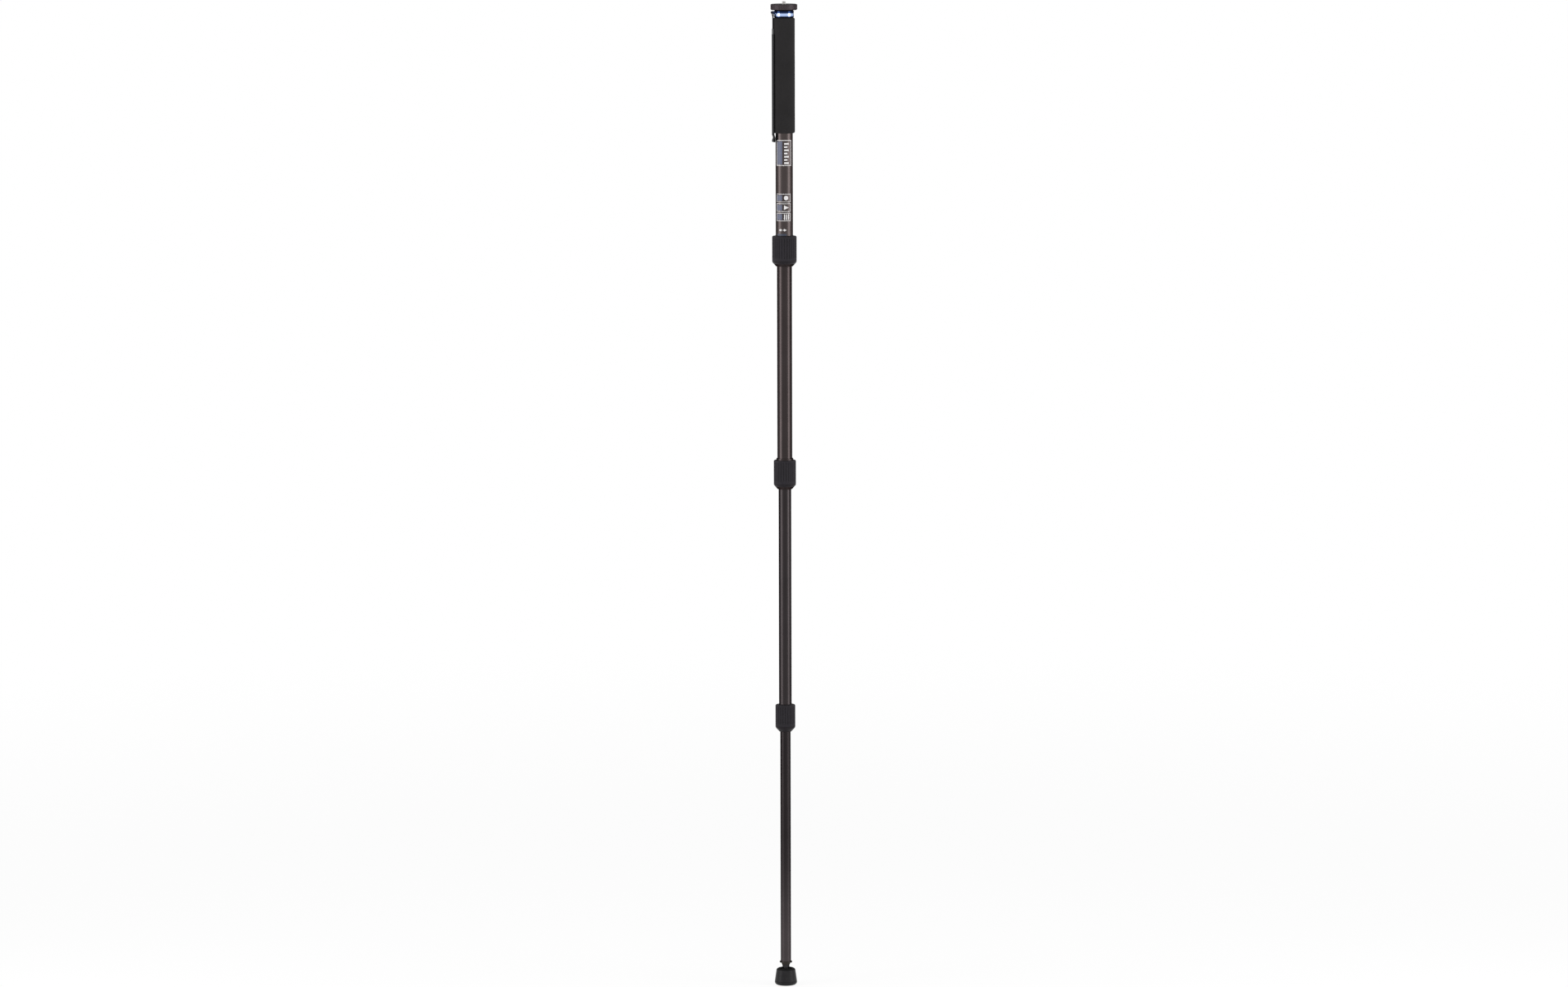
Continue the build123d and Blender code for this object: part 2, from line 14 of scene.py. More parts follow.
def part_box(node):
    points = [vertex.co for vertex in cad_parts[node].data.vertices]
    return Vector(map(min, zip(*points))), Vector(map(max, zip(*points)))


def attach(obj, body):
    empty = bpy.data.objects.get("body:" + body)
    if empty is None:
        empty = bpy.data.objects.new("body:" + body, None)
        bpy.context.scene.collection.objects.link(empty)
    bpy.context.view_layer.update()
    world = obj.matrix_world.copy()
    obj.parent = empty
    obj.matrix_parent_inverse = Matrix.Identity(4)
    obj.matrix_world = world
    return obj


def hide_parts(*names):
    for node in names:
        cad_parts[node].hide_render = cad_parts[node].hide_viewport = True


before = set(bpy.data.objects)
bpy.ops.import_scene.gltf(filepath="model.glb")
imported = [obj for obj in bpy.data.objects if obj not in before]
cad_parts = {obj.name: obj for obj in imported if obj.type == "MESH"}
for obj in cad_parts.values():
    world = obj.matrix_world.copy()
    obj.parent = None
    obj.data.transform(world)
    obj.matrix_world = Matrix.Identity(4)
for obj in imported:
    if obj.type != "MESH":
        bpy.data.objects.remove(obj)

logging.basicConfig(level=logging.INFO, format="%(message)s")
LOG = logging.getLogger("monopod")

MM = 0.001
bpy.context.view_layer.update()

Colour = tuple[float, float, float]
Outline = Sequence[tuple[float, float]]
Corners = Sequence[tuple[float, float, float]]
Socket = bpy.types.NodeSocket
MeshParts = tuple[list, list]


class Body(Enum):
    """The rigid bodies that carry made pieces."""

    UPPER = "upper_section"
    UPPER_LOCK = "upper_lock"
    MIDDLE_LOCK = "middle_lock"
    LOWER_LOCK = "lower_lock"


class Field:
    """A socket whose value is used in maths written as Python operators."""

    def __init__(self, paint: "Paint", socket: Socket) -> None:
        """Wraps one output socket of a paint's nodes."""
        self.paint = paint
        self.socket = socket

    def maths(self, operation: str, *operands: "Field | float") -> "Field":
        """Adds one Math node.

        Args:
            operation: the Math node's operation.
            operands: its inputs in order.

        Returns:
            The node's result.
        """
        node = self.paint.node("ShaderNodeMath", {"operation": operation}, dict(enumerate(operands)))
        return Field(self.paint, node.outputs[0])

    def __add__(self, other: "Field | float") -> "Field":
        """Sum."""
        return self.maths("ADD", self, other)

    __radd__ = __add__

    def __sub__(self, other: "Field | float") -> "Field":
        """Difference."""
        return self.maths("SUBTRACT", self, other)

    def __rsub__(self, other: float) -> "Field":
        """Difference, reflected."""
        return self.maths("SUBTRACT", other, self)

    def __mul__(self, other: "Field | float") -> "Field":
        """Product."""
        return self.maths("MULTIPLY", self, other)

    __rmul__ = __mul__

    def __abs__(self) -> "Field":
        """Size without sign."""
        return self.maths("ABSOLUTE", self)

    def sine(self) -> "Field":
        """Sine, in radians."""
        return self.maths("SINE", self)

    def larger(self, other: "Field | float") -> "Field":
        """The larger of two values."""
        return self.maths("MAXIMUM", self, other)

    def step(self, low: float, high: float) -> "Field":
        """A smooth rise from 0 at low to 1 at high.

        Args:
            low: value at which the rise starts.
            high: value at which it ends; below low it is a fall.

        Returns:
            The rise, kept between 0 and 1.
        """
        settings = {"interpolation_type": "SMOOTHSTEP"}
        node = self.paint.node("ShaderNodeMapRange", settings, {0: self, 1: low, 2: high})
        return Field(self.paint, node.outputs[0])

    def between(self, low: float, high: float, fade: float) -> "Field":
        """1 between two limits, 0 outside them, with a change that reaches fade to each side of both."""
        return self.step(low - fade, low + fade) * self.step(high + fade, high - fade)


@dataclass(frozen=True)
class Pattern:
    """A cloudy pattern of noise.

    Attributes:
        scale: spots per metre.
        detail: how many finer layers it has.
        roughness: strength of the finer layers.
        draw: factor on heights, below 1 where spots are drawn out lengthwise.
        span: values between which it rises from 0 to 1, or None to use it as it is.
    """

    scale: float
    detail: float = 2.0
    roughness: float = 0.5
    draw: float = 1.0
    span: tuple[float, float] | None = None


class Paint:
    """One material's or the world's node tree while it is built."""

    def __init__(self, owner: bpy.types.Material | bpy.types.World) -> None:
        """Clears the owner's nodes.

        Args:
            owner: what the nodes belong to.
        """
        owner.use_nodes = True
        self.tree = owner.node_tree
        self.tree.nodes.clear()

    def node(self, kind: str, settings: dict[str, object] | None = None,
             inputs: dict[str | int, object] | None = None) -> bpy.types.Node:
        """Makes any node.

        Args:
            kind: the node's type name.
            settings: properties set before its sockets.
            inputs: a value, socket or Field for each input, by name or index.

        Returns:
            The new node.
        """
        made = self.tree.nodes.new(kind)
        for name, value in (settings or {}).items():
            setattr(made, name, value)
        for name, value in (inputs or {}).items():
            source = value.socket if isinstance(value, Field) else value
            if isinstance(source, Socket):
                self.tree.links.new(source, made.inputs[name])
            else:
                made.inputs[name].default_value = source
        return made

    def take(self, node: bpy.types.Node, output: str | int = 0) -> Field:
        """One output of a node as a Field."""
        return Field(self, node.outputs[output])

    def place(self) -> Socket:
        """The point on the surface in the pole's own frame, in metres."""
        return self.node("ShaderNodeTexCoord").outputs["Object"]

    def line(self, distance: Field) -> Socket:
        """A vector with one part, so that noise varies along a line only."""
        return self.node("ShaderNodeCombineXYZ", inputs={0: distance}).outputs[0]

    def stretch(self, vector: Socket, factor: float) -> Socket:
        """A vector with its height times a factor."""
        inputs = {0: vector, 1: (1, 1, factor)}
        return self.node("ShaderNodeVectorMath", {"operation": "MULTIPLY"}, inputs).outputs[0]

    def along(self, vector: Socket, direction: Colour = (0, 0, 1)) -> Field:
        """Distance along a direction, upward unless one is given."""
        product = {"operation": "DOT_PRODUCT"}
        return self.take(self.node("ShaderNodeVectorMath", product, {0: vector, 1: direction}), "Value")

    def radius(self, vector: Socket) -> Field:
        """Distance from the pole's axis."""
        flat = self.stretch(vector, 0)
        return self.take(self.node("ShaderNodeVectorMath", {"operation": "LENGTH"}, {0: flat}), "Value")

    def noise(self, vector: Socket, pattern: Pattern) -> Field:
        """Cloudy variation between 0 and 1.

        Args:
            vector: the point on the surface.
            pattern: the form of the noise.

        Returns:
            The variation.
        """
        if pattern.draw != 1.0:
            vector = self.stretch(vector, pattern.draw)
        cloud = self.take(self.node("ShaderNodeTexNoise", inputs={
            "Vector": vector,
            "Scale": pattern.scale,
            "Detail": pattern.detail,
            "Roughness": pattern.roughness,
        }))
        return cloud.step(*pattern.span) if pattern.span else cloud

    def noises(self, vector: Socket, *patterns: Pattern) -> list[Field]:
        """Several patterns at one place."""
        return [self.noise(vector, pattern) for pattern in patterns]

    def cells(self, vector: Socket, scale: float) -> Field:
        """Distance to the nearest of scattered points, as in foam cells."""
        return self.take(self.node("ShaderNodeTexVoronoi", inputs={"Vector": vector, "Scale": scale}))

    def over(self, share: Field, under: Socket | Colour, colour: Colour) -> Socket:
        """A colour laid over another.

        Args:
            share: how much of it covers, from 0 to 1.
            under: what is there already.
            colour: what is laid over it.

        Returns:
            The mixed colour.
        """
        low = under if isinstance(under, Socket) else (*under, 1)
        inputs = {"Factor": share, 6: low, 7: (*colour, 1)}
        return self.node("ShaderNodeMix", {"data_type": "RGBA"}, inputs).outputs[2]

    def layers(self, share: Field, under: bpy.types.Node, top: bpy.types.Node) -> Socket:
        """One shader over another, by a share from 0 to 1."""
        inputs = {0: share, 1: under.outputs[0], 2: top.outputs[0]}
        return self.node("ShaderNodeMixShader", inputs=inputs).outputs[0]

    def relief(self, height: Field, depth: float, strength: float = 1.0,
               below: Socket | None = None) -> Socket:
        """A bump.

        Args:
            height: the form, from 0 to 1.
            depth: its real depth in metres.
            strength: how much of it shows.
            below: a bump that it lies on.

        Returns:
            The bent normal.
        """
        inputs = {"Height": height, "Distance": depth, "Strength": strength}
        if below is not None:
            inputs["Normal"] = below
        return self.node("ShaderNodeBump", inputs=inputs).outputs[0]

    def surface(self, colour: Socket, rough: Field, normal: Socket, metallic: Field | float = 0.0,
                gloss: float = 0.5, edge: float = 1.0) -> None:
        """Ends a material in one principled shader.

        Args:
            colour: base colour.
            rough: roughness.
            normal: the bent normal.
            metallic: how metallic each spot is.
            gloss: strength of reflection where it is not metallic.
            edge: how bright it stays where it is seen at a flat angle.
        """
        shader = self.node("ShaderNodeBsdfPrincipled", inputs={
            "Base Color": colour, "Roughness": rough, "Normal": normal, "Metallic": metallic,
            "Specular IOR Level": gloss, "Specular Tint": (edge, edge, edge, 1),
        })
        self.node("ShaderNodeOutputMaterial", inputs={"Surface": shader.outputs[0]})


def shade(colour: Colour, factor: float) -> Colour:
    """A colour made darker or lighter by a factor."""
    return tuple(min(part * factor, 1.0) for part in colour)


@dataclass(frozen=True)
class Finish:
    """What every finish has.

    Attributes:
        name: the material's name.
        colour: its main colour, linear.
        roughness: its mean roughness.
        swing: how much its roughness changes over a pattern.
        ends: factors on the colour at the dark and the light end of its tones.
        reach: how far from 0.5 a tone has its full effect.
    """

    name: str
    colour: Colour
    roughness: float
    swing: float = 0.12
    ends: tuple[float, float] = (0.88, 1.12)
    reach: float = 0.2

    def material(self) -> bpy.types.Material:
        """Makes the material on its first use.

        Returns:
            The material.
        """
        made = bpy.data.materials.get(self.name)
        if made is None:
            made = bpy.data.materials.new(self.name)
            self.paint(Paint(made))
            made.diffuse_color = (*self.colour, 1)
        return made

    def tones(self, paint: Paint, tone: Field) -> Socket:
        """The main colour made uneven.

        Args:
            paint: the material's nodes.
            tone: a variation round 0.5.

        Returns:
            The uneven colour.
        """
        dark, light = (shade(self.colour, factor) for factor in self.ends)
        return paint.over(tone.step(0.5 - self.reach, 0.5 + self.reach), dark, light)

    def tinted(self, paint: Paint, share: Field, under: Socket, factor: float) -> Socket:
        """The main colour times a factor, laid over what is there.

        Args:
            paint: the material's nodes.
            share: how much of it covers, from 0 to 1.
            under: what is there already.
            factor: factor on the main colour.

        Returns:
            The mixed colour.
        """
        return paint.over(share, under, shade(self.colour, factor))

    def rough(self, pattern: Field) -> Field:
        """The mean roughness made uneven by a pattern round 0.5."""
        return self.roughness + (pattern - 0.5) * self.swing

    def paint(self, paint: Paint) -> None:
        """Builds the nodes."""
        raise NotImplementedError


@dataclass(frozen=True)
class DrawnMetal(Finish):
    """Anodised tube with fine lengthwise lines from drawing.

    Attributes:
        lines: the fine lines.
        line_depth: their depth in metres.
        streaks: broader streaks, three times as deep.
        clouds: slow variation in the anodising.
        scuffs: small rubbed marks.
        scuffed: share that a mark covers, and its factor on the colour.
        edge: how bright the metal stays where it is seen at a flat angle.
        floor_glow_height: height in metres below which the tube is painted lighter, a painted reflection
            of the white floor, or 0 without it.
        floor_glow: height up to which that painted reflection is full, and its factor on the colour.
    """

    swing: float = 0.16
    ends: tuple[float, float] = (0.84, 1.16)
    reach: float = 0.25
    lines: Pattern = Pattern(1400.0, 3.0, 0.6, draw=0.004)
    line_depth: float = 0.000012
    streaks: Pattern = Pattern(160.0, draw=0.02)
    clouds: Pattern = Pattern(26.0, 3.0)
    scuffs: Pattern = Pattern(420.0, 4.0, 0.7, draw=0.15, span=(0.66, 0.78))
    scuffed: tuple[float, float] = (0.25, 1.9)
    edge: float = 0.2
    floor_glow_height: float = 0.0
    floor_glow: tuple[float, float] = (0.03, 2.7)

    def paint(self, paint: Paint) -> None:
        """Streaks along the tube, faint clouds in the anodising, small scuffs and a painted reflection
        of the floor near the ground.

        Args:
            paint: the material's nodes.
        """
        place = paint.place()
        lines, streaks, clouds = paint.noises(place, self.lines, self.streaks, self.clouds)
        scuffs = paint.noise(place, self.scuffs)
        cover, factor = self.scuffed
        colour = self.tones(paint, lines * 0.35 + streaks * 0.35 + clouds * 0.3)
        colour = self.tinted(paint, scuffs * cover, colour, factor)
        # Painted reflection of the white floor: the tube is made lighter towards its bottom.
        if self.floor_glow_height:
            full, pale = self.floor_glow
            dust = paint.along(place).step(self.floor_glow_height, full) * (clouds * 0.4 + 0.8)
            colour = self.tinted(paint, dust, colour, pale)
        fine = paint.relief(lines, self.line_depth)
        bump = paint.relief(streaks, self.line_depth * 3, 0.6, fine)
        paint.surface(colour, self.rough(lines) + scuffs * 0.1, bump, metallic=1.0, edge=self.edge)


@dataclass(frozen=True)
class TurnedMetal(Finish):
    """Anodised or bare metal with fine rings from the lathe.

    Attributes:
        ring_pitch: distance between rings in metres.
        ring_depth: depth of a ring in metres.
        slope: factor on the radius, which gives flat faces rings as well as upright ones.
        waver: slow drift of the rings.
        uneven: how unlike each other they are.
        clouds: slow variation in the anodising.
        spots: small rubbed spots.
        rubbed: share that a spot covers, and its factor on the colour.
        edge: how bright the metal stays where it is seen at a flat angle.
        gloss: strength of reflection where it is not metallic.
    """

    swing: float = 0.14
    ring_pitch: float = 0.00022
    ring_depth: float = 0.000006
    slope: float = 0.83
    waver: Pattern = Pattern(60.0, 1.0)
    uneven: Pattern = Pattern(2600.0, 2.0, 0.7)
    clouds: Pattern = Pattern(90.0, 3.0)
    spots: Pattern = Pattern(700.0, 4.0, 0.75, span=(0.68, 0.8))
    rubbed: tuple[float, float] = (0.2, 1.7)
    edge: float = 0.3
    gloss: float = 0.5

    def tint(self, paint: Paint, tone: Field) -> Socket:
        """The anodised colour, a little lighter and darker by tone."""
        return self.tones(paint, tone)

    def metal(self, paint: Paint) -> Field | float:
        """How metallic each spot is."""
        return 1.0

    def paint(self, paint: Paint) -> None:
        """Rings by distance along the profile, faint clouds and rubbed spots.

        Args:
            paint: the material's nodes.
        """
        place = paint.place()
        profile = paint.radius(place) * self.slope + paint.along(place)
        waver, clouds, spots = paint.noises(place, self.waver, self.clouds, self.spots)
        rings = (profile * (2 * math.pi / self.ring_pitch) + waver * 0.5).sine() * 0.5 + 0.5
        uneven = paint.noise(paint.line(profile), self.uneven)
        cover, factor = self.rubbed
        colour = self.tint(paint, clouds * 0.6 + uneven * 0.4)
        colour = self.tinted(paint, spots * cover, colour, factor)
        rough = self.rough(uneven) + spots * 0.08
        bump = paint.relief(rings * 0.6 + uneven * 0.4, self.ring_depth)
        paint.surface(colour, rough, bump, self.metal(paint), self.gloss, self.edge)


@dataclass(frozen=True)
class LockCollar(TurnedMetal):
    """Collar with a matt coat, bare at its mouth and, where it has one, on its neck.

    Attributes:
        coat_colour: colour of the coat, linear.
        coated: heights in metres between which the coat lies.
        fade: half the height over which it ends.
    """

    coat_colour: Colour = (0.0190, 0.0170, 0.0195)
    coated: tuple[float, float] = (0.0, 1.0)
    fade: float = 0.15 * MM

    def cover(self, paint: Paint) -> Field:
        """Where the coat lies.

        Args:
            paint: the material's nodes.

        Returns:
            1 under the coat, 0 on bare metal.
        """
        return paint.along(paint.place()).between(*self.coated, self.fade)

    def tint(self, paint: Paint, tone: Field) -> Socket:
        """The coat over the anodised colour."""
        bare = super().tint(paint, tone)
        return paint.over(self.cover(paint) * (tone * 0.1 + 0.9), bare, self.coat_colour)

    def metal(self, paint: Paint) -> Field:
        """Metallic where the coat ends."""
        return 1.0 - self.cover(paint)


@dataclass(frozen=True)
class PaintedHighlightRing(TurnedMetal):
    """Dyed ring whose waist is bright between darker edges and ears.

    Attributes:
        dark: colour of the painted shade on the edges and the ears, linear.
        low: height of the ring's lower edge in metres.
        highlight_band: heights over that edge between which the painted highlight lies.
        fade: half the height over which it fades at each side.
        outside: radii between which it ends outside the ring, where the ears are.
    """

    dark: Colour = (0.016, 0.028, 0.075)
    low: float = 0.0
    highlight_band: tuple[float, float] = (2.5 * MM, 6.9 * MM)
    fade: float = 0.6 * MM
    outside: tuple[float, float] = (16.5 * MM, 16.3 * MM)

    def tint(self, paint: Paint, tone: Field) -> Socket:
        """Painted highlight by height on the ring itself, painted shade elsewhere.

        Args:
            paint: the material's nodes.
            tone: a variation round 0.5.

        Returns:
            The colour.
        """
        place = paint.place()
        # Painted highlight on the waist, painted shade on the edges and ears.
        highlight_band = (paint.along(place) - self.low).between(*self.highlight_band, self.fade)
        highlight_band = highlight_band * paint.radius(place).step(*self.outside)
        return paint.over(highlight_band * (tone * 0.16 + 0.92), self.dark, self.colour)


@dataclass(frozen=True)
class MouldedRubber(Finish):
    """Matt rubber with a fine spark-eroded grain and dust in it.

    Attributes:
        grain: the fine grain.
        grain_depth: its depth in metres.
        clouds: slow variation from the mould's flow.
        dirt: where pale dust lies.
        dust: share of the dust on the surface.
        dust_tone: its factor on the colour.
        gloss: strength of its reflection.
        crest: radius of the ribs' crests in metres, or 0 without ribs.
        ribbed: heights in metres between which the ribs lie.
        groove: depths in metres at which a groove starts and is full.
        groove_shade: share by which a groove is darkened as painted shade, and its factor on the colour.
        shade_height: height in metres above which the top has painted shade, or 0 without it.
        top_shade: share by which that top is darkened as painted shade, and its factor on the colour.
        shade_fade: half the height over which it starts.
    """

    swing: float = 0.18
    ends: tuple[float, float] = (0.86, 1.14)
    grain: Pattern = Pattern(2600.0, 2.0, 0.6)
    grain_depth: float = 0.00003
    clouds: Pattern = Pattern(70.0, 4.0)
    dirt: Pattern = Pattern(240.0, 5.0, 0.7, span=(0.52, 0.8))
    dust: float = 0.08
    dust_tone: float = 3.2
    gloss: float = 0.25
    crest: float = 0.0
    ribbed: tuple[float, float] = (0.0, 1.0)
    groove: tuple[float, float] = (0.05 * MM, 0.6 * MM)
    groove_shade: tuple[float, float] = (0.28, 0.3)
    shade_height: float = 0.0
    top_shade: tuple[float, float] = (0.85, 0.1)
    shade_fade: float = 0.8 * MM

    def grooves(self, paint: Paint, place: Socket) -> Field:
        """Where the grooves between the ribs are, which get painted shade.

        Args:
            paint: the material's nodes.
            place: the point on the surface.

        Returns:
            1 at the bottom of a groove, 0 elsewhere.
        """
        height = paint.along(place)
        low, high = self.ribbed
        inside = height.step(low, low + MM) * height.step(high, high - MM)
        return (self.crest - paint.radius(place)).step(*self.groove) * inside

    def paint(self, paint: Paint) -> None:
        """Grain, faint flow clouds, dust, and painted shade in the grooves and on the top.

        Args:
            paint: the material's nodes.
        """
        place = paint.place()
        grain, clouds, dirt = paint.noises(place, self.grain, self.clouds, self.dirt)
        colour = self.tinted(paint, dirt * self.dust, self.tones(paint, clouds), self.dust_tone)
        rough = self.rough(clouds) + (grain - 0.5) * 0.08
        if self.crest:
            # Painted shade: the grooves between the ribs are darkened.
            share, factor = self.groove_shade
            colour = self.tinted(paint, self.grooves(paint, place) * share, colour, factor)
        if self.shade_height:
            # Painted shade: the top above the given height is darkened and made rougher.
            share, factor = self.top_shade
            inner = paint.along(place).step(self.shade_height - self.shade_fade, self.shade_height + self.shade_fade)
            colour = self.tinted(paint, inner * share, colour, factor)
            rough = rough + inner * 0.4
        paint.surface(colour, rough, paint.relief(grain, self.grain_depth), gloss=self.gloss)


@dataclass(frozen=True)
class FoamSkin(Finish):
    """Closed-cell foam: fine open pits with a soft, slightly dusty look.

    Attributes:
        cell_scale: small cells per metre.
        coarse: scale of the larger cells as a share of that.
        cell_depth: depth of the pits in metres.
        clouds: where hands have polished it.
        speckle: fine variation in tone.
        gloss: strength of its reflection.
    """

    swing: float = 0.14
    ends: tuple[float, float] = (0.8, 1.2)
    reach: float = 0.25
    cell_scale: float = 1500.0
    coarse: float = 0.37
    cell_depth: float = 0.00009
    clouds: Pattern = Pattern(34.0, 4.0)
    speckle: Pattern = Pattern(900.0, 3.0, 0.7)
    gloss: float = 0.06

    def paint(self, paint: Paint) -> None:
        """Pits of two sizes, and clouds where hands have polished it.

        Args:
            paint: the material's nodes.
        """
        place = paint.place()
        pits = paint.cells(place, self.cell_scale).step(0.05, 0.55)
        coarse = paint.cells(place, self.cell_scale * self.coarse).step(0.0, 0.5)
        clouds, speckle = paint.noises(place, self.clouds, self.speckle)
        colour = self.tones(paint, clouds * 0.5 + speckle * 0.3 + pits * 0.2)
        bump = paint.relief(pits * 0.7 + coarse * 0.3, self.cell_depth)
        paint.surface(colour, self.rough(clouds), bump, gloss=self.gloss)


@dataclass(frozen=True)
class Webbing(Finish):
    """Woven tape: ribs across the tape that warp threads cross in pairs.

    Attributes:
        across: unit vector across the tape.
        thread: distance between threads in metres.
        weave_depth: depth of the weave in metres.
        fuzz: loose fibres.
        gloss: strength of its reflection.
    """

    swing: float = 0.15
    ends: tuple[float, float] = (0.55, 1.5)
    reach: float = 0.35
    across: Colour = (1.0, 0.0, 0.0)
    thread: float = 0.0007
    weave_depth: float = 0.00012
    fuzz: Pattern = Pattern(3200.0, 2.0, 0.7)
    gloss: float = 0.2

    def paint(self, paint: Paint) -> None:
        """A basket weave from two crossed waves, and thread-to-thread variation.

        Args:
            paint: the material's nodes.
        """
        place = paint.place()
        turn = 2 * math.pi / self.thread
        warp = (paint.along(place, self.across) * turn).sine()
        weft = (paint.along(place) * (turn * 0.5) + warp.step(-0.2, 0.2) * math.pi).sine()
        weave = abs(weft) * 0.7 + warp * 0.15 + 0.15
        fuzz = paint.noise(place, self.fuzz)
        bump = paint.relief(weave + fuzz * 0.25, self.weave_depth)
        colour = self.tones(paint, weave * 0.6 + fuzz * 0.4)
        paint.surface(colour, self.rough(fuzz), bump, gloss=self.gloss)


@dataclass(frozen=True)
class MouldedPlastic(Finish):
    """Moulded plastic with a faint texture and light wear.

    Attributes:
        grain: the texture.
        grain_depth: its depth in metres.
        clouds: slow variation from the mould's flow.
        marks: small scratches.
        scratched: share that a scratch covers, and its factor on the colour.
    """

    ends: tuple[float, float] = (0.9, 1.1)
    grain: Pattern = Pattern(2200.0)
    grain_depth: float = 0.00001
    clouds: Pattern = Pattern(120.0, 3.0)
    marks: Pattern = Pattern(900.0, 4.0, 0.75, draw=0.2, span=(0.66, 0.78))
    scratched: tuple[float, float] = (0.2, 1.8)

    def paint(self, paint: Paint) -> None:
        """Fine texture, flow clouds and small scratches.

        Args:
            paint: the material's nodes.
        """
        grain, clouds, marks = paint.noises(paint.place(), self.grain, self.clouds, self.marks)
        cover, factor = self.scratched
        colour = self.tinted(paint, marks * cover, self.tones(paint, clouds), factor)
        paint.surface(colour, self.rough(clouds) + marks * 0.1, paint.relief(grain, self.grain_depth))


@dataclass(frozen=True)
class Ink(Finish):
    """Screen-printed ink on metal, thin in places.

    Attributes:
        mesh: marks of the screen.
        mesh_depth: their depth in metres.
        clouds: where the ink is thinner.
    """

    ends: tuple[float, float] = (0.88, 1.06)
    mesh: Pattern = Pattern(3000.0, 2.0, 0.6)
    mesh_depth: float = 0.000004
    clouds: Pattern = Pattern(260.0, 3.0)

    def paint(self, paint: Paint) -> None:
        """A little screen mesh in the ink's surface and tone.

        Args:
            paint: the material's nodes.
        """
        mesh, clouds = paint.noises(paint.place(), self.mesh, self.clouds)
        colour = self.tones(paint, mesh * 0.4 + clouds * 0.6)
        paint.surface(colour, self.rough(mesh), paint.relief(mesh, self.mesh_depth))


STRAP_AZIMUTH = math.radians(196.0)
STRAP_OUT = (math.cos(STRAP_AZIMUTH), math.sin(STRAP_AZIMUTH), 0.0)
STRAP_SIDE = (-math.sin(STRAP_AZIMUTH), math.cos(STRAP_AZIMUTH), 0.0)

TUBE = DrawnMetal("satin_titanium_anodised", (0.062, 0.051, 0.050), 0.34)
TUBE_SECOND = DrawnMetal("satin_titanium_anodised_second", (0.042, 0.034, 0.034), 0.27)
TUBE_THIRD = DrawnMetal("satin_titanium_anodised_third", (0.034, 0.029, 0.030), 0.31)
# The fourth tube is painted lighter in its lowest 25 cm, a painted reflection of the white floor.
TUBE_FOURTH = DrawnMetal("satin_titanium_anodised_fourth", (0.0240, 0.0203, 0.0211), 0.38, floor_glow_height=0.25)
LOCK_METAL = LockCollar("anodised_collar", (0.040, 0.032, 0.032), 0.34, gloss=0.08, edge=0.2)
PLATE_METAL = TurnedMetal("dark_anodised_plate", (0.043, 0.036, 0.039), 0.42, edge=0.03)
# The ring's waist is painted light as a painted highlight; its edges and ears are painted dark as
# painted shade.
BLUE_METAL = PaintedHighlightRing("blue_anodised_ring", (0.46, 0.58, 0.88), 0.17, ring_depth=0.000003, edge=0.05)
BARE_METAL = TurnedMetal("bare_turned_aluminium", (0.60, 0.60, 0.61), 0.32)
STEEL = TurnedMetal("bright_turned_steel", (0.62, 0.61, 0.60), 0.24, edge=1.0)
BLACK_STEEL = TurnedMetal("black_oxide_steel", (0.045, 0.043, 0.045), 0.4)
BOSS_METAL = TurnedMetal("grey_turned_boss", (0.043, 0.038, 0.034), 0.4)
LOCK_RUBBER = MouldedRubber("sleeve_rubber", (0.0182, 0.0162, 0.0196), 0.75, gloss=0.15)
# The foot's top above 25.2 mm is darkened, painted shade for its dark top and recess.
FOOT_RUBBER = MouldedRubber("moulded_foot_rubber", (0.0165, 0.0157, 0.0168), 0.36,
                            grain=Pattern(1800.0, 2.0, 0.6), dust=0.1, gloss=0.1, shade_height=25.2 * MM)
PAD_RUBBER = MouldedRubber("seat_rubber", (0.014, 0.014, 0.015), 0.8)
FOAM = FoamSkin("grip_foam", (0.0195, 0.0185, 0.019), 0.88)
WEBBING = Webbing("black_webbing", (0.008, 0.008, 0.009), 0.88, across=STRAP_SIDE)
BLACK_PLASTIC = MouldedPlastic("black_moulded_plastic", (0.022, 0.022, 0.024), 0.5)
WHITE_PLASTIC = MouldedPlastic("natural_acetal", (0.60, 0.59, 0.55), 0.42)
INKS = {
    "white": Ink("white_ink", (0.72, 0.71, 0.71), 0.5),
    "blue": Ink("blue_grey_ink", (0.085, 0.095, 0.15), 0.5),
    "dark": Ink("slate_ink", (0.035, 0.044, 0.075), 0.5),
}


def polar(reach: float, angle: float, height: float) -> tuple[float, float, float]:
    """A point by its distance and angle from the pole's axis."""
    return reach * math.cos(angle), reach * math.sin(angle), height


def link(name: str, data: bpy.types.ID) -> bpy.types.Object:
    """Makes an object and links it to the scene.

    Args:
        name: the object's name.
        data: its mesh, lamp or camera.

    Returns:
        The object.
    """
    made = bpy.data.objects.new(name, data)
    bpy.context.scene.collection.objects.link(made)
    return made


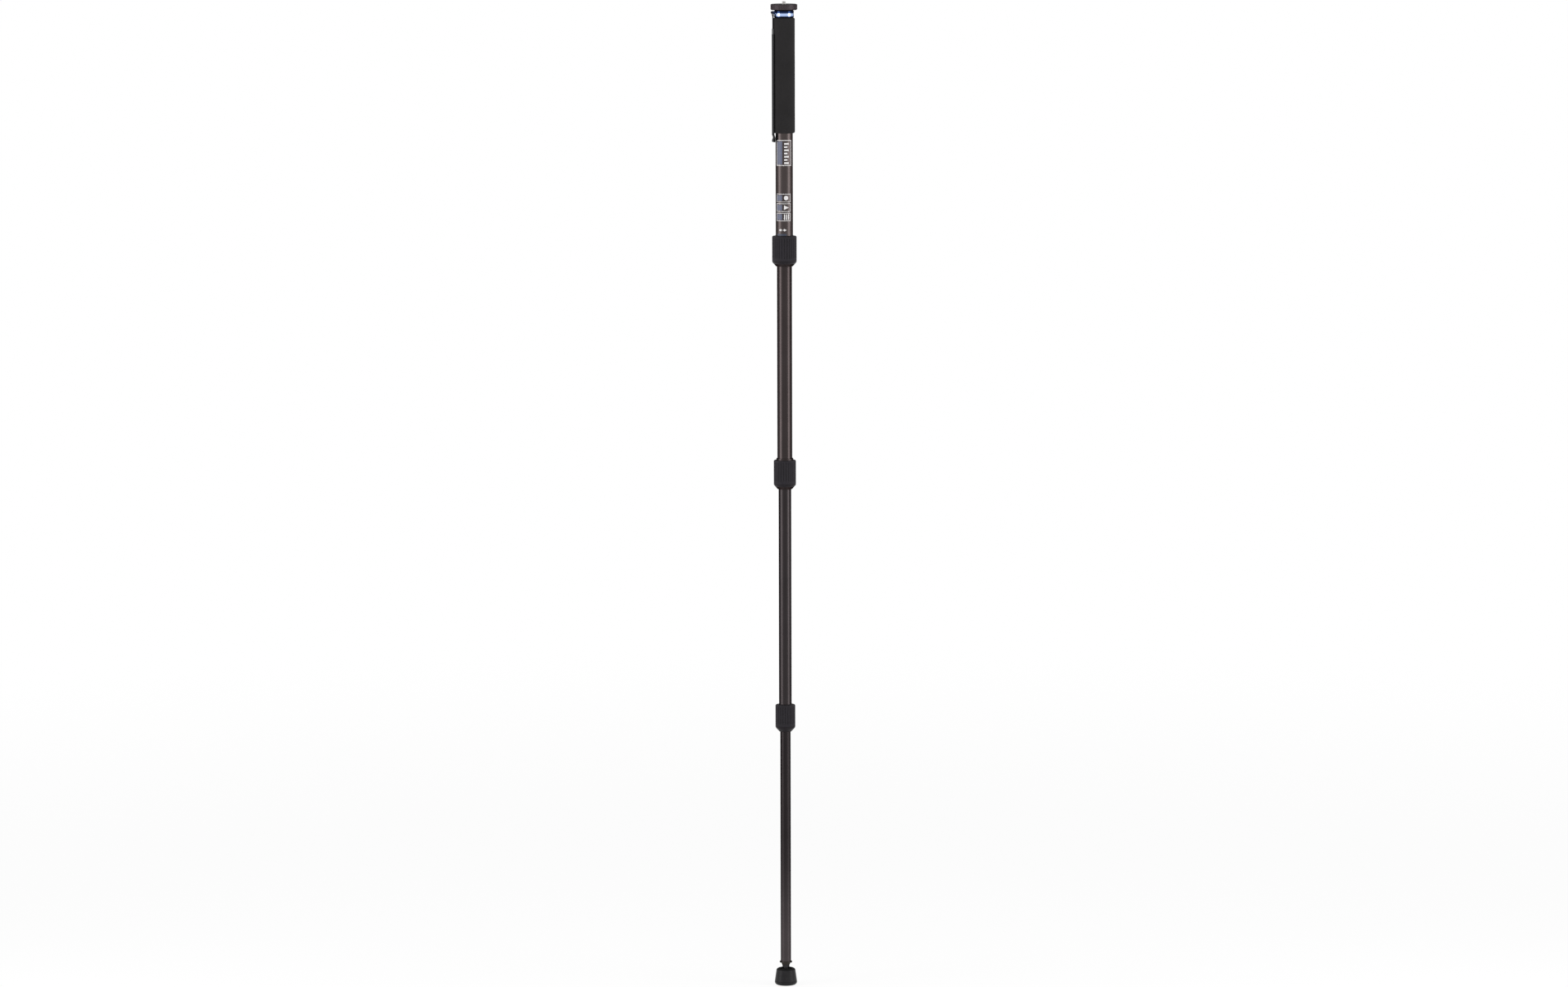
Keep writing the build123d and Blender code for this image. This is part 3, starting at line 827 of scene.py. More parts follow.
class Shapes:
    """Mesh makers. Sizes are in metres, heights along Z."""

    @staticmethod
    def piece(name: str, parts: Sequence[MeshParts], finish: Finish,
              sharp_degrees: float = 40.0) -> bpy.types.Object:
        """Makes one object.

        Args:
            name: the piece's name.
            parts: vertices and faces of each of its shells.
            finish: what it is finished in.
            sharp_degrees: edges that bend more than this stay sharp.

        Returns:
            The object, linked to the scene.
        """
        vertices, faces = [], []
        for points, corners in parts:
            faces += [tuple(len(vertices) + corner for corner in face) for face in corners]
            vertices += points
        mesh = bpy.data.meshes.new(name)
        mesh.from_pydata(vertices, [], faces)
        work = bmesh.new()
        work.from_mesh(mesh)
        bmesh.ops.remove_doubles(work, verts=work.verts, dist=1e-7)
        bmesh.ops.recalc_face_normals(work, faces=work.faces)
        work.to_mesh(mesh)
        work.free()
        mesh.shade_smooth()
        mesh.set_sharp_from_angle(angle=math.radians(sharp_degrees))
        mesh.materials.append(finish.material())
        return link(name, mesh)

    @staticmethod
    def loft(rings: Sequence[Sequence[Sequence[float]]], looped: bool = False) -> MeshParts:
        """Joins rings of points by faces.

        Args:
            rings: rings with the same number of points.
            looped: whether the last ring meets the first; otherwise both end rings are filled.

        Returns:
            Vertices and faces.
        """
        count, size = len(rings), len(rings[0])
        faces = []
        for index in range(count if looped else count - 1):
            here, there = index * size, (index + 1) % count * size
            for corner in range(size):
                after = (corner + 1) % size
                faces.append((here + corner, there + corner, there + after, here + after))
        if not looped:
            faces += [tuple(reversed(range(size))), tuple(range((count - 1) * size, count * size))]
        return [point for ring in rings for point in ring], faces

    @staticmethod
    def turned(rows: Outline, segments: int, swell: Callable[[float, float, float], float]) -> MeshParts:
        """A closed outline turned about the pole.

        Args:
            rows: (radius, height) corners in order round the outline.
            segments: faces in one turn.
            swell: change of radius at (angle, radius, height).

        Returns:
            Vertices and faces.
        """
        rings = []
        for index in range(segments):
            angle = 2 * math.pi * index / segments
            rings.append([polar(radius + swell(angle, radius, height), angle, height)
                          for radius, height in rows])
        return Shapes.loft(rings, True)

    @staticmethod
    def rounded(corners: Corners, closed: bool, arc_steps: int) -> list[tuple]:
        """Rounds the corners of an outline or a path.

        Args:
            corners: (x, y, rounding) points.
            closed: whether the last corner meets the first.
            arc_steps: divisions of each rounding.

        Returns:
            The points of the rounded line.
        """
        points, count = [], len(corners)
        for index, (x, y, rounding) in enumerate(corners):
            at_end = not closed and index in (0, count - 1)
            if at_end or rounding == 0:
                points.append((x, y))
                continue
            here = Vector((x, y))
            before = (Vector(corners[index - 1][:2]) - here).normalized()
            after = (Vector(corners[(index + 1) % count][:2]) - here).normalized()
            half = before.angle(after) / 2
            reach = rounding / math.tan(half)
            centre = here + (before + after).normalized() * (rounding / math.sin(half))
            first, last = here + before * reach - centre, here + after * reach - centre
            swing = first.angle_signed(last)
            for step in range(arc_steps + 1):
                turned = first.copy()
                turned.rotate(Matrix.Rotation(-swing * step / arc_steps, 2))
                points.append(tuple(centre + turned))
        return points

    @staticmethod
    def divided(points: Outline, longest: float, closed: bool) -> list[tuple]:
        """Adds points to a line so that no run is longer than a given length.

        Args:
            points: the line's points.
            longest: the longest run allowed.
            closed: whether the last point meets the first.

        Returns:
            All points.
        """
        made, count = [], len(points)
        for index in range(count if closed else count - 1):
            start, stop = Vector(points[index]), Vector(points[(index + 1) % count])
            pieces = max(1, math.ceil((stop - start).length / longest))
            made += [tuple(start.lerp(stop, step / pieces)) for step in range(pieces)]
        return made if closed else made + [tuple(points[-1])]


class Rig:
    """Puts finishes on CAD pieces and made pieces on their bodies."""

    @staticmethod
    def dress(finishes: dict[str, Finish]) -> None:
        """Gives carried-over CAD pieces their finishes.

        Args:
            finishes: the finish of each node.
        """
        for name, finish in finishes.items():
            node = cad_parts[name]
            node.data.materials.clear()
            node.data.materials.append(finish.material())
            LOG.info("%s: %s", name, finish.name)

    @staticmethod
    def mount(piece: bpy.types.Object, body: Body, slot: str, *replaced: str) -> None:
        """Makes a piece ride on its body.

        Args:
            piece: the made piece.
            body: what carries it.
            slot: a material slot's name, not used.
            replaced: CAD nodes that it stands for.
        """
        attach(piece, body.value)
        if replaced:
            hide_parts(*replaced)
        LOG.info("%s on %s, %d faces", piece.name, body.value, len(piece.data.polygons))


@dataclass
class CameraScrew:
    """The reversible screw with its real threads, flange and coin slot."""

    pitch: float = 1.27 * MM
    thread_depth: float = 0.72 * MM
    tail_pitch: float = 1.5875 * MM
    tail_radius: float = 4.7625 * MM
    stud_radius: float = 3.175 * MM
    stud_reach: float = 5.0 * MM
    tip_chamfer: float = 0.5 * MM
    flange_radius: float = 6.0 * MM
    flange_thickness: float = 2.2 * MM
    slot_width: float = 1.4 * MM
    slot_depth: float = 1.0 * MM
    slot_margin: float = 1.0 * MM
    flank_slope: float = 1.25
    crest_flat: float = 0.12
    segments: int = 72
    rows_a_turn: int = 12

    def threaded(self, radius: float, pitch: float, low: float, high: float) -> MeshParts:
        """A rod with a helical thread and chamfered ends.

        Args:
            radius: outside radius of the thread.
            pitch: rise in one turn.
            low: height of its lower end.
            high: height of its upper end.

        Returns:
            Vertices and faces, with both ends closed.
        """
        rows = max(2, round((high - low) / pitch * self.rows_a_turn))
        rings = []
        for row in range(rows + 1):
            height = low + (high - low) * row / rows
            lead = max(0.0, self.tip_chamfer - min(height - low, high - height))
            ring = []
            for index in range(self.segments):
                turn = index / self.segments
                flank = abs(2 * ((height / pitch - turn) % 1.0) - 1)
                cut = self.thread_depth * min(1.0, max(0.0, flank * self.flank_slope - self.crest_flat))
                ring.append(polar(radius - max(cut, lead), 2 * math.pi * turn, height))
            rings.append(ring)
        return Shapes.loft(rings)

    def arc(self, start: float, stop: float, steps: int) -> list[tuple[float, float]]:
        """Points on the flange's edge, seen from above.

        Args:
            start: angle of the first point.
            stop: angle at which the arc ends.
            steps: divisions of the arc.

        Returns:
            The points from start to stop.
        """
        angles = [start + (stop - start) * step / steps for step in range(steps + 1)]
        return [polar(self.flange_radius, angle, 0.0)[:2] for angle in angles]

    def slotted(self) -> list[tuple[float, float]]:
        """The flange's upper outline: a disc with a notch at each end of the coin slot.

        Returns:
            The outline's corners.
        """
        half, stop = self.slot_width / 2, self.stud_radius + self.slot_margin
        start = math.asin(half / self.flange_radius)
        depth = math.sqrt(stop ** 2 - half ** 2)
        outline = []
        for way, side in ((0.0, -1), (math.pi, 1)):
            outline += self.arc(way + start, way + math.pi - start, self.segments // 2)
            outline += [(side * depth, -side * half), (side * stop, 0.0), (side * depth, side * half)]
        return outline

    def build(self) -> None:
        """Makes the whole screw and puts it in the plate."""
        low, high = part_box("camera_screw")
        plate_top = high.z - self.stud_reach
        seat = plate_top - self.flange_thickness
        floor = plate_top - self.slot_depth
        disc = self.arc(0.0, 2 * math.pi, self.segments)[:-1]
        flange = [Shapes.loft([[(x, y, height) for x, y in outline] for height in heights])
                  for outline, heights in ((disc, (seat, floor)), (self.slotted(), (floor, plate_top)))]
        stud = self.threaded(self.stud_radius, self.pitch, plate_top, high.z)
        tail = self.threaded(self.tail_radius, self.tail_pitch, low.z, seat)
        screw = Shapes.piece("camera_screw_threaded", [*flange, stud, tail], STEEL, 35.0)
        Rig.mount(screw, Body.UPPER, "steel", "camera_screw")


@dataclass
class Head:
    """Plate, pad, blue ring and screw at the top."""

    screw: CameraScrew = field(default_factory=CameraScrew)

    def build(self) -> None:
        """Dresses the head."""
        Rig.dress({
            "camera_plate": PLATE_METAL,
            "camera_pad": PAD_RUBBER,
            "plate_screws": BLACK_STEEL,
            "head_plug": BARE_METAL,
            "head_collar": replace(BLUE_METAL, low=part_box("head_collar")[0].z),
            "strap_pin": BLACK_STEEL,
        })
        self.screw.build()


@dataclass
class WristStrap:
    """Tape over the pin, keeper and folded webbing loop, lying along the grip."""

    thickness: float = 0.5 * MM
    clear_of_grip: float = 0.25 * MM
    layer_gap: float = 0.08 * MM
    tape_width: float = 5.0 * MM
    width: float = 12.0 * MM
    bend: float = 2.5 * MM
    swing: float = 1.6 * MM
    bight_radius: float = 1.05 * MM
    bight_height: float = 5.0 * MM
    fit: float = 0.05 * MM
    across_steps: int = 8
    arc_steps: int = 8
    longest_run: float = 3.0 * MM
    pin_radius: float = 1.0 * MM
    pin_clearance: float = 0.1 * MM
    collar_bevel: float = 1.1 * MM
    body_share: float = 0.86
    selvedge_share: float = 0.98
    selvedge_start: float = 0.8
    edge_in: float = 0.3
    edge_out: float = 0.6

    def webbing(self, name: str, path: Corners, width: float) -> bpy.types.Object:
        """Woven tape swept along a path, with rounded edges that are a little thicker.

        Args:
            name: the piece's name.
            path: (distance from axis, height, rounding) corners.
            width: width of the tape.

        Returns:
            The tape's mesh object.
        """
        line = Shapes.divided(Shapes.rounded(path, False, self.arc_steps), self.longest_run, False)
        points = [Vector(point) for point in line]
        outward, side, section = Vector(STRAP_OUT), Vector(STRAP_SIDE), self.section(width)
        rings = []
        for index, point in enumerate(points):
            before, after = points[max(index - 1, 0)], points[min(index + 1, len(points) - 1)]
            heading = (after - before).normalized()
            normal = Vector((heading.y, -heading.x))
            ring = []
            for across, out in section:
                spot = point + normal * out
                ring.append(outward * spot.x + side * across + Vector((0, 0, spot.y)))
            rings.append(ring)
        return Shapes.piece(name, [Shapes.loft(rings)], WEBBING, 50.0)

    def section(self, width: float) -> list[tuple[float, float]]:
        """The tape's cross-section: flat in the middle, with full, rounded selvedges.

        Args:
            width: width of the tape.

        Returns:
            (across, out) corners.
        """
        half, thick = width / 2, self.thickness / 2
        top = []
        for step in range(self.across_steps + 1):
            share = -1 + 2 * step / self.across_steps
            thin = self.body_share if abs(share) < self.selvedge_start else self.selvedge_share
            top.append((share * (half - thick), thick * thin))
        inset, rise = thick * self.edge_in, thick * self.edge_out
        right = [(half - inset, rise), (half, 0.0), (half - inset, -rise)]
        bottom = [(across, -out) for across, out in reversed(top)]
        left = [(-across, -out) for across, out in right]
        return top + right + bottom + left

    def build(self) -> None:
        """Makes both tapes and dresses the keeper."""
        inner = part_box("foam_grip")[1].x + self.clear_of_grip + self.thickness / 2
        outer = inner + self.thickness + self.layer_gap
        grip_low, grip_high = (corner.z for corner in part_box("foam_grip"))
        keeper_low, keeper_high = (corner.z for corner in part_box("strap_keeper"))
        pin_low, pin_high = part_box("strap_pin")
        pin = (pin_low + pin_high) / 2
        reach = math.hypot(pin.x, pin.y)
        loop = self.pin_radius + self.pin_clearance + self.thickness / 2
        bend_height = grip_high + self.collar_bevel
        tape = self.webbing("strap_tape_woven", [
            (inner, keeper_high, 0),
            (inner, bend_height, self.bend),
            (reach - loop, pin.z - self.pin_radius, self.bend),
            (reach - loop, pin.z + loop, loop - self.fit),
            (reach + loop, pin.z + loop, loop - self.fit),
            (reach + loop, pin.z - self.pin_radius, self.bend),
            (outer, bend_height, self.bend),
            (outer, keeper_high, 0),
        ], self.tape_width)
        Rig.mount(tape, Body.UPPER, "webbing", "strap_tape")
        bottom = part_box("wrist_strap")[0].z + self.thickness / 2
        middle = (inner + outer) / 2 - self.swing / 2
        narrow = middle - self.swing / 2
        half_gap = (outer - inner) / 2
        strap = self.webbing("wrist_strap_woven", [
            (inner, keeper_low, 0),
            (inner, grip_low - self.bend, self.bend),
            (narrow - half_gap, bottom + self.bight_height + self.bend, self.bend),
            (middle - self.bight_radius, bottom + self.bight_height / 2, self.bend / 2),
            (middle - self.bight_radius, bottom, self.bight_radius - self.fit),
            (middle + self.bight_radius, bottom, self.bight_radius - self.fit),
            (middle + self.bight_radius, bottom + self.bight_height / 2, self.bend / 2),
            (narrow + half_gap, bottom + self.bight_height + self.bend, self.bend),
            (outer, grip_low - self.bend, self.bend),
            (outer, keeper_low, 0),
        ], self.width)
        Rig.mount(strap, Body.UPPER, "webbing", "wrist_strap")
        Rig.dress({"strap_keeper": BLACK_PLASTIC})


@dataclass
class FoamGrip:
    """The long foam sleeve.

    Attributes:
        waves: share, waves in a turn, radians per metre of height and start of each wave in its surface.
    """

    rounding: float = 3.0 * MM
    longest_run: float = 4.0 * MM
    bore_fit: float = 0.05 * MM
    segments: int = 160
    arc_steps: int = 8
    wave: float = 0.05 * MM
    waves: tuple[tuple[float, ...], ...] = ((1.0, 3, 60.0, 0.0), (0.6, 5, -141.0, 1.3))

    def build(self) -> None:
        """Makes the sleeve with soft ends and a barely uneven surface."""
        low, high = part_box("foam_grip")
        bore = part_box("upper_tube")[1].x + self.bore_fit
        outer = high.x - self.wave
        corners = [
            (bore, low.z, 0),
            (outer, low.z, self.rounding),
            (outer, high.z, self.rounding),
            (bore, high.z, 0),
        ]
        rows = Shapes.divided(Shapes.rounded(corners, True, self.arc_steps), self.longest_run, True)

        def swell(angle: float, radius: float, height: float) -> float:
            """A slow, shallow unevenness on the outside only.

            Args:
                angle: angle about the pole.
                radius: radius of the plain sleeve.
                height: height over the floor.

            Returns:
                The change of radius.
            """
            if radius < outer - self.rounding:
                return 0.0
            slow = sum(share * math.sin(turns * angle + height * climb + start)
                       for share, turns, climb, start in self.waves)
            return self.wave * slow / sum(wave[0] for wave in self.waves)

        grip = Shapes.piece("foam_grip_soft", [Shapes.turned(rows, self.segments, swell)], FOAM, 50.0)
        Rig.mount(grip, Body.UPPER, "foam", "foam_grip")


@dataclass
class Printing:
    """Ink on the upper tube: plain bars, discs and arrows in frames.

    Places round the tube are arc lengths from its front line. Drops are below the grip, and rises are
    above the lock or the panel's lower edge.
    """

    ink_depth: float = 0.03 * MM
    column: float = 0.8 * MM
    left: float = -14.6 * MM
    line: float = 1.0 * MM
    panel_right: float = 12.6 * MM
    panel_drop: float = 10.6 * MM
    panel_height: float = 41.5 * MM
    panel_inset: float = 2.2 * MM
    block_share: float = 0.42
    bars: int = 7
    bar_step: float = 5.2 * MM
    bar_height: float = 2.6 * MM
    bar_rise: float = 3.0 * MM
    bar_inset: float = 3.2 * MM
    bar_lengths: tuple[float, float] = (7.6 * MM, 5.4 * MM)
    frame_line: float = 0.7 * MM
    frame_right: float = 11.0 * MM
    frame_drops: tuple[float, ...] = (97.7 * MM, 113.3 * MM, 128.6 * MM)
    frame_height: float = 13.1 * MM
    mark_share: float = 0.55
    mark_margin: float = 2.0 * MM
    mark_size: float = 0.8
    block_inset: float = 1.4 * MM
    block_gap: float = 3.0 * MM
    disc_shift: float = 3.5 * MM
    wedge_length: float = 8.0 * MM
    stripe_shifts: tuple[float, ...] = (0.0, 3.4 * MM, 6.8 * MM)
    stripe_width: float = 1.6 * MM
    arrow_rise: float = 9.5 * MM
    arrow_middle: float = -3.0 * MM
    arrow_shift: float = 2.4 * MM
    arrow_length: float = 4.2 * MM
    arrow_half: float = 2.2 * MM
    shaft_length: float = 1.6 * MM
    shaft_half: float = 0.7 * MM
    band_rise: float = 0.1 * MM
    band_height: float = 3.2 * MM
    band_ends: tuple[float, float] = (-13.0 * MM, 3.6 * MM)
    disc_side: float = 0.05
    wedge_tip: float = 0.04
    shells: dict[str, list[MeshParts]] = field(default_factory=dict)

    def patch(self, ink: str, left: float, right: float,
              edges: Callable[[float], tuple[float, float]]) -> None:
        """Adds one thin patch of ink, wrapped round the tube.

        Args:
            ink: which ink it is.
            left: where its left edge is.
            right: where its right edge is.
            edges: heights of its lower and upper edge at an arc length.
        """
        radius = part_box("upper_tube")[1].x
        inside, outside = radius - self.ink_depth, radius + self.ink_depth
        count = max(2, math.ceil((right - left) / self.column))
        rings = []
        for step in range(count + 1):
            arc = left + (right - left) * step / count
            low, high = edges(arc)
            corners = ((inside, low), (inside, high), (outside, high), (outside, low))
            rings.append([polar(reach, arc / radius - math.pi / 2, height) for reach, height in corners])
        self.shells.setdefault(ink, []).append(Shapes.loft(rings))

    def bar(self, ink: str, left: float, right: float, low: float, high: float) -> None:
        """Adds a plain rectangle."""
        self.patch(ink, left, right, lambda _: (low, high))

    def frame(self, right: float, low: float, high: float, line: float) -> None:
        """Adds a rectangular outline in white.

        Args:
            right: where its right edge is.
            low: height of its lower edge.
            high: height of its upper edge.
            line: width of its line.
        """
        self.bar("white", self.left, right, high - line, high)
        self.bar("white", self.left, right, low, low + line)
        self.bar("white", self.left, self.left + line, low + line, high - line)
        self.bar("white", right - line, right, low + line, high - line)

    def disc(self, centre: float, height: float, radius: float) -> None:
        """Adds a filled white disc.

        Args:
            centre: where its centre is.
            height: height of its centre.
            radius: its radius.
        """
        def round_edge(arc: float) -> tuple[float, float]:
            """The disc's lower and upper edge."""
            rise = math.sqrt(max(radius ** 2 - (arc - centre) ** 2, (self.disc_side * radius) ** 2))
            return height - rise, height + rise

        self.patch("white", centre - radius, centre + radius, round_edge)

    def wedge(self, point: float, base: float, height: float, half: float) -> None:
        """Adds a white triangle whose point lies sideways from its base.

        Args:
            point: where its point is.
            base: where its base is.
            height: height of its middle line.
            half: half the length of its base.
        """
        def slanted(arc: float) -> tuple[float, float]:
            """The triangle's lower and upper edge."""
            share = max(abs(arc - point) / abs(base - point), self.wedge_tip)
            return height - half * share, height + half * share

        self.patch("white", min(point, base), max(point, base), slanted)

    def build(self) -> None:
        """Prints the tube, from the panel under the grip down to the lock."""
        grip_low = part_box("foam_grip")[0].z
        lock_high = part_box("lock_core_1")[1].z
        panel_high = grip_low - self.panel_drop
        self.panel(panel_high - self.panel_height, panel_high)
        for index, drop in enumerate(self.frame_drops):
            self.small_frame(index, grip_low - drop - self.frame_height, grip_low - drop)
        self.arrows(lock_high + self.arrow_rise)
        band_low = lock_high + self.band_rise
        self.bar("dark", *self.band_ends, band_low, band_low + self.band_height)
        for ink, parts in self.shells.items():
            Rig.mount(Shapes.piece(f"printing_{ink}", parts, INKS[ink]), Body.UPPER, "tube_metal")

    def panel(self, low: float, high: float) -> None:
        """The large outlined panel: a plain block and a ladder of bars.

        Args:
            low: height of its lower edge.
            high: height of its upper edge.
        """
        self.frame(self.panel_right, low, high, self.line)
        split = self.left + (self.panel_right - self.left) * self.block_share
        inset = self.panel_inset
        self.bar("blue", self.left + inset, split, low + inset, high - inset)
        start = split + self.bar_inset
        for index in range(self.bars):
            base = low + self.bar_rise + index * self.bar_step
            self.bar("white", start, start + self.bar_lengths[index % 2], base, base + self.bar_height)

    def small_frame(self, index: int, low: float, high: float) -> None:
        """One of the small frames: a block beside a plain mark.

        Args:
            index: which of the three it is.
            low: height of its lower edge.
            high: height of its upper edge.
        """
        self.frame(self.frame_right, low, high, self.frame_line)
        middle = self.left + (self.frame_right - self.left) * self.mark_share
        height, half = (low + high) / 2, (high - low) / 2 - self.mark_margin
        block = self.left + self.block_inset, middle - self.block_gap
        self.bar("blue", *block, height - half, height + half)
        if index == 0:
            self.disc(middle + self.disc_shift, height, half * self.mark_size)
        elif index == 1:
            self.wedge(middle + self.wedge_length, middle, height, half * self.mark_size)
        else:
            for start in (middle + shift for shift in self.stripe_shifts):
                self.bar("white", start, start + self.stripe_width, height - half, height + half)

    def arrows(self, height: float) -> None:
        """A plain arrow each way for the lock's turn.

        Args:
            height: height of both arrows.
        """
        for way in (-1, 1):
            base = way * self.arrow_shift + self.arrow_middle
            self.wedge(base + way * self.arrow_length, base, height, self.arrow_half)
            left, right = sorted((base, base - way * self.shaft_length))
            self.bar("white", left, right, height - self.shaft_half, height + self.shaft_half)


@dataclass
class TwistLock:
    """One twist lock: turned collar, ribbed rubber sleeve, wiper, ferrule and bush.

    Attributes:
        number: 1 for the upper lock to 3 for the lower one.
        body: the body that carries its sleeve.
        tube: the tube in its top.
        bare_mouth: height of the bare metal at its mouth.
        bare_neck: whether its neck is bare metal too.
    """

    number: int
    body: Body
    tube: str
    bare_mouth: float
    bare_neck: bool = False
    rib_pitch: float = 4.2 * MM
    groove_depth: float = 0.75 * MM
    groove_width: float = 2.5 * MM
    rounding: float = 2.0 * MM
    edge_rounding: float = 0.5 * MM
    band_below: float = 4.0 * MM
    band_above: float = 2.6 * MM
    run_out: float = 1.1 * MM
    samples_a_rib: int = 10
    arc_steps: int = 6
    longest_run: float = 1.2 * MM
    wall: float = 2.0 * MM
    cap: float = 1.5 * MM
    neck_reach: float = 1.65 * MM
    fit: float = 0.05 * MM
    groove_form: float = 1.5

    def build(self) -> None:
        """Makes the sleeve and dresses the rest."""
        low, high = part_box(f"lock_sleeve_{self.number}")
        outer = high.x
        ribs = 2 * math.ceil(math.pi * outer / self.rib_pitch)
        groove_low, groove_high = low.z + self.band_below, high.z - self.band_above
        bore = outer - self.wall
        cap_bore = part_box(self.tube)[1].x + self.neck_reach + self.fit
        cap_floor = high.z - self.cap + self.fit
        corners = [
            (bore, low.z, 0), (outer, low.z, self.edge_rounding), (outer, high.z, self.rounding),
            (cap_bore, high.z, self.edge_rounding), (cap_bore, cap_floor, 0), (bore, cap_floor, 0),
        ]
        rows = Shapes.divided(Shapes.rounded(corners, True, self.arc_steps), self.longest_run, True)

        def swell(angle: float, radius: float, height: float) -> float:
            """Rounded grooves between the ribs that run out at both ends.

            Args:
                angle: angle about the pole.
                radius: radius of the plain sleeve.
                height: height over the floor.

            Returns:
                The change of radius.
            """
            if radius < outer - self.rounding:
                return 0.0
            share = (angle * ribs / (2 * math.pi)) % 1.0
            offset = abs(share - 0.5) * 2 * math.pi * outer / ribs
            across = max(0.0, 1 - (2 * offset / self.groove_width) ** 2)
            inside = min(height - groove_low, groove_high - height)
            along = min(1.0, max(0.0, inside / self.run_out))
            return -self.groove_depth * across ** self.groove_form * along * (2 - along)

        # The sleeve's rubber, with painted shade in its grooves.
        finish = replace(LOCK_RUBBER, name=f"ribbed_sleeve_rubber_{self.number}", crest=outer,
                         ribbed=(groove_low, groove_high))
        parts = [Shapes.turned(rows, ribs * self.samples_a_rib, swell)]
        sleeve = Shapes.piece(f"lock_sleeve_{self.number}_ribbed", parts, finish, 60.0)
        Rig.mount(sleeve, self.body, "lock_rubber", f"lock_sleeve_{self.number}")
        core_low, core_high = (corner.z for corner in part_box(f"lock_core_{self.number}"))
        coat_end = high.z - self.cap if self.bare_neck else core_high + MM
        Rig.dress({
            f"lock_core_{self.number}": replace(LOCK_METAL, name=f"anodised_collar_{self.number}",
                                                coated=(core_low + self.bare_mouth, coat_end)),
            f"lock_wiper_{self.number}": LOCK_RUBBER,
            f"ferrule_{self.number}": BARE_METAL,
            f"clamp_bush_{self.number}": WHITE_PLASTIC,
        })


@dataclass
class Tubes:
    """The four tubes and the guide shims round the inner three."""

    def build(self) -> None:
        """Dresses the tubes."""
        Rig.dress({
            "upper_tube": TUBE,
            "second_tube": TUBE_SECOND,
            "third_tube": TUBE_THIRD,
            "fourth_tube": TUBE_FOURTH,
            "second_guide_shims": WHITE_PLASTIC,
            "third_guide_shims": WHITE_PLASTIC,
            "fourth_guide_shims": WHITE_PLASTIC,
        })


@dataclass
class Foot:
    """Plug, ball stud, liner and rubber foot."""

    def build(self) -> None:
        """Dresses the foot."""
        Rig.dress({
            "foot_plug": BOSS_METAL,
            "ball_stud": BLACK_STEEL,
            "socket_liner": BLACK_PLASTIC,
            "rubber_foot": FOOT_RUBBER,
        })


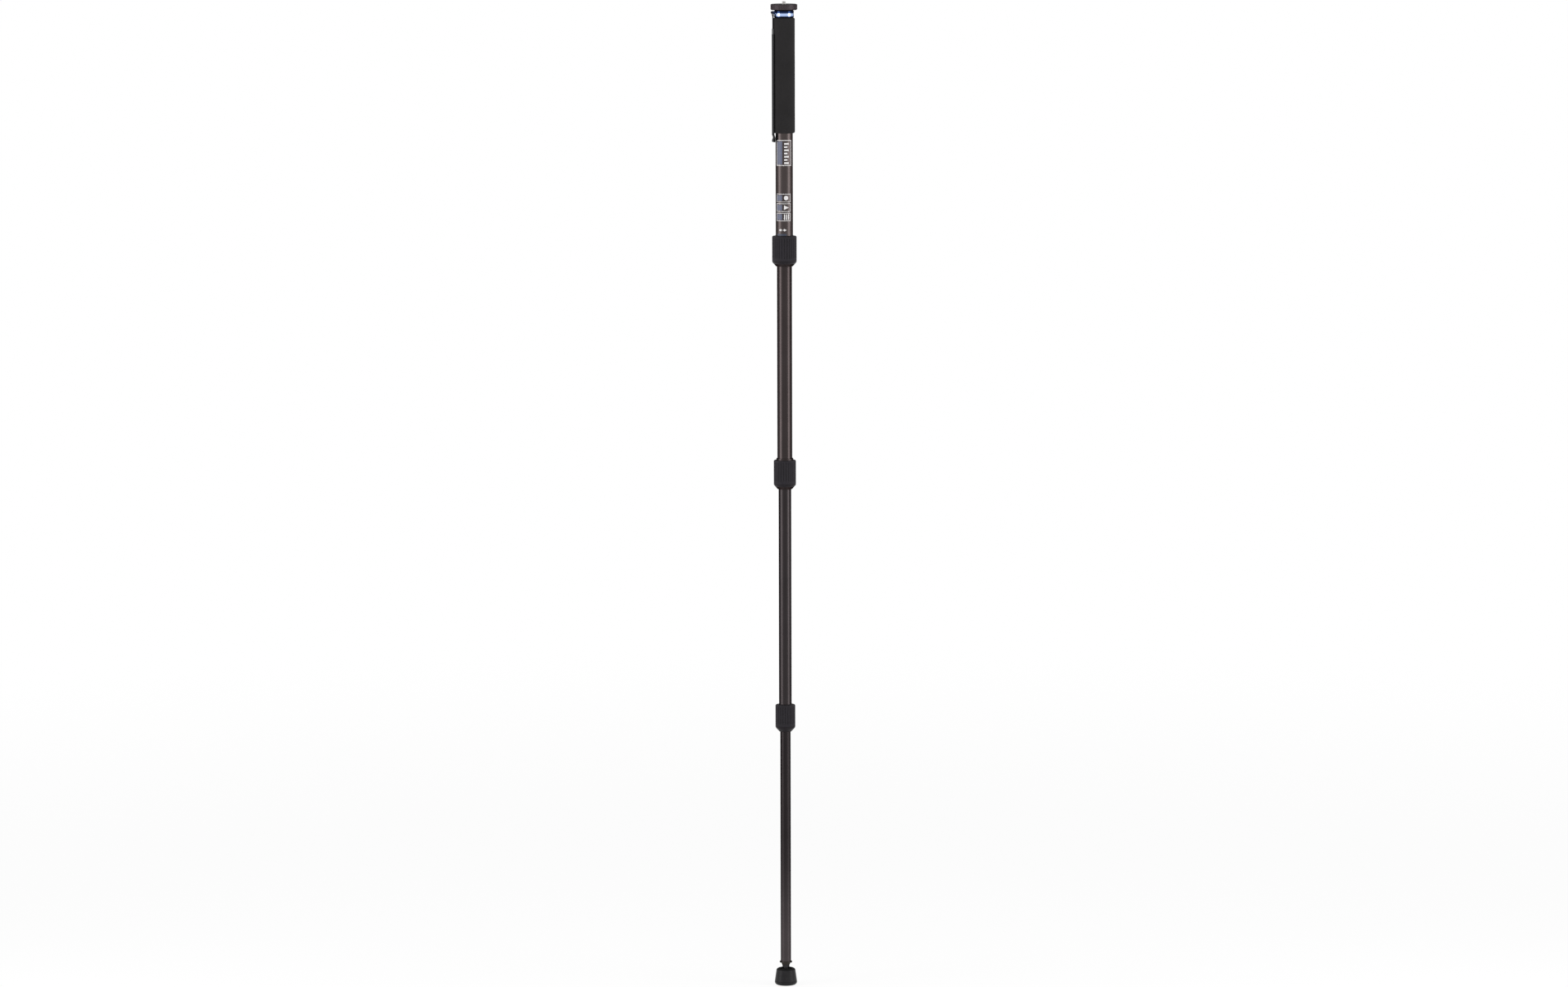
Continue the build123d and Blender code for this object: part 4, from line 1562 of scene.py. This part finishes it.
@dataclass
class Studio:
    """White floor and surround, two tall soft lamps, and the camera."""

    distance: float = 10.0
    height: float = 2.0232
    side_shift: float = -0.0015
    pitch: float = math.radians(6.9)
    roll: float = -0.00216
    lens: float = 142.0
    sensor: float = 36.0
    lamp_angle: float = math.radians(66.0)
    lamp_distance: float = 1.7
    lamp_height: float = 1.0
    lamp_size: tuple[float, float] = (0.75, 2.6)
    lamp_power: float = 26.0
    surround: float = 0.62
    floor_size: float = 60.0
    floor_drop: float = 0.0002
    floor_white: float = 0.9
    glow: float = 0.9
    glow_reach: tuple[float, float] = (0.8, 4.0)

    def world(self) -> None:
        """White where it is seen or reflected, and a plain level where it lights."""
        world = bpy.data.worlds.new("studio")
        bpy.context.scene.world = world
        paint = Paint(world)
        plain, white = (paint.node("ShaderNodeBackground", inputs={0: (1, 1, 1, 1), 1: strength})
                        for strength in (self.surround, 1.0))
        shown = paint.layers(self.seen(paint), plain, white)
        paint.node("ShaderNodeOutputWorld", inputs={"Surface": shown})

    @staticmethod
    def seen(paint: Paint) -> Field:
        """1 on rays from the camera, a gloss or a clear piece.

        Args:
            paint: the nodes of the material or the world.

        Returns:
            1 or 0.
        """
        light = paint.node("ShaderNodeLightPath")
        camera, glossy, clear = (paint.take(light, f"Is {kind} Ray")
                                 for kind in ("Camera", "Glossy", "Transmission"))
        return camera.larger(glossy).larger(clear)

    def floor(self) -> None:
        """A pale floor that keeps the pole's shadow and fades to white far away."""
        half, white = self.floor_size / 2, self.floor_white
        mesh = bpy.data.meshes.new("floor")
        corners = [(-half, -half, 0), (half, -half, 0), (half, half, 0), (-half, half, 0)]
        mesh.from_pydata(corners, [], [(0, 1, 2, 3)])
        floor = link("floor", mesh)
        floor.location.z = -self.floor_drop
        material = bpy.data.materials.new("floor_white")
        paint = Paint(material)
        far = paint.radius(paint.place()).step(*self.glow_reach)
        share = self.seen(paint) * (self.glow + far * (1 - self.glow))
        matt = paint.node("ShaderNodeBsdfDiffuse", inputs={0: (white, white, white, 1)})
        glow = paint.node("ShaderNodeEmission", inputs={0: (1, 1, 1, 1), 1: 1.0})
        paint.node("ShaderNodeOutputMaterial", inputs={"Surface": paint.layers(share, matt, glow)})
        mesh.materials.append(material)

    def lamps(self) -> None:
        """One tall soft lamp on each side, a little toward the camera."""
        for way in (-1, 1):
            lamp = bpy.data.lights.new(f"side_lamp_{way}", "AREA")
            lamp.shape = "RECTANGLE"
            lamp.size, lamp.size_y = self.lamp_size
            lamp.energy = self.lamp_power
            holder = link(lamp.name, lamp)
            x = way * math.sin(self.lamp_angle) * self.lamp_distance
            y = -math.cos(self.lamp_angle) * self.lamp_distance
            holder.location = (x, y, self.lamp_height)
            holder.rotation_euler = (math.pi / 2, 0, math.atan2(y, x) + math.pi / 2)

    def camera(self) -> None:
        """The camera at the height and pitch from which the pole is seen."""
        data = bpy.data.cameras.new("camera")
        data.lens = self.lens
        data.sensor_width = self.sensor
        data.sensor_fit = "HORIZONTAL"
        camera = link("camera", data)
        aim = Matrix.Rotation(math.pi / 2 - self.pitch, 4, "X") @ Matrix.Rotation(self.roll, 4, "Z")
        camera.matrix_world = Matrix.Translation((self.side_shift, -self.distance, self.height)) @ aim
        bpy.context.scene.camera = camera

    def build(self) -> None:
        """Sets the whole studio."""
        bpy.context.scene.view_settings.view_transform = "Standard"
        self.world()
        self.floor()
        self.lamps()
        self.camera()


def main() -> None:
    """Builds each sub-assembly in order."""
    parts = (
        Studio(),
        Head(),
        WristStrap(),
        FoamGrip(),
        Tubes(),
        Printing(),
        TwistLock(1, Body.UPPER_LOCK, "upper_tube", 4.2 * MM),
        TwistLock(2, Body.MIDDLE_LOCK, "second_tube", 4.6 * MM, bare_neck=True),
        TwistLock(3, Body.LOWER_LOCK, "third_tube", 0.8 * MM),
        Foot(),
    )
    for part in parts:
        LOG.info("building %s", type(part).__name__)
        part.build()


if __name__ == "__main__":
    main()
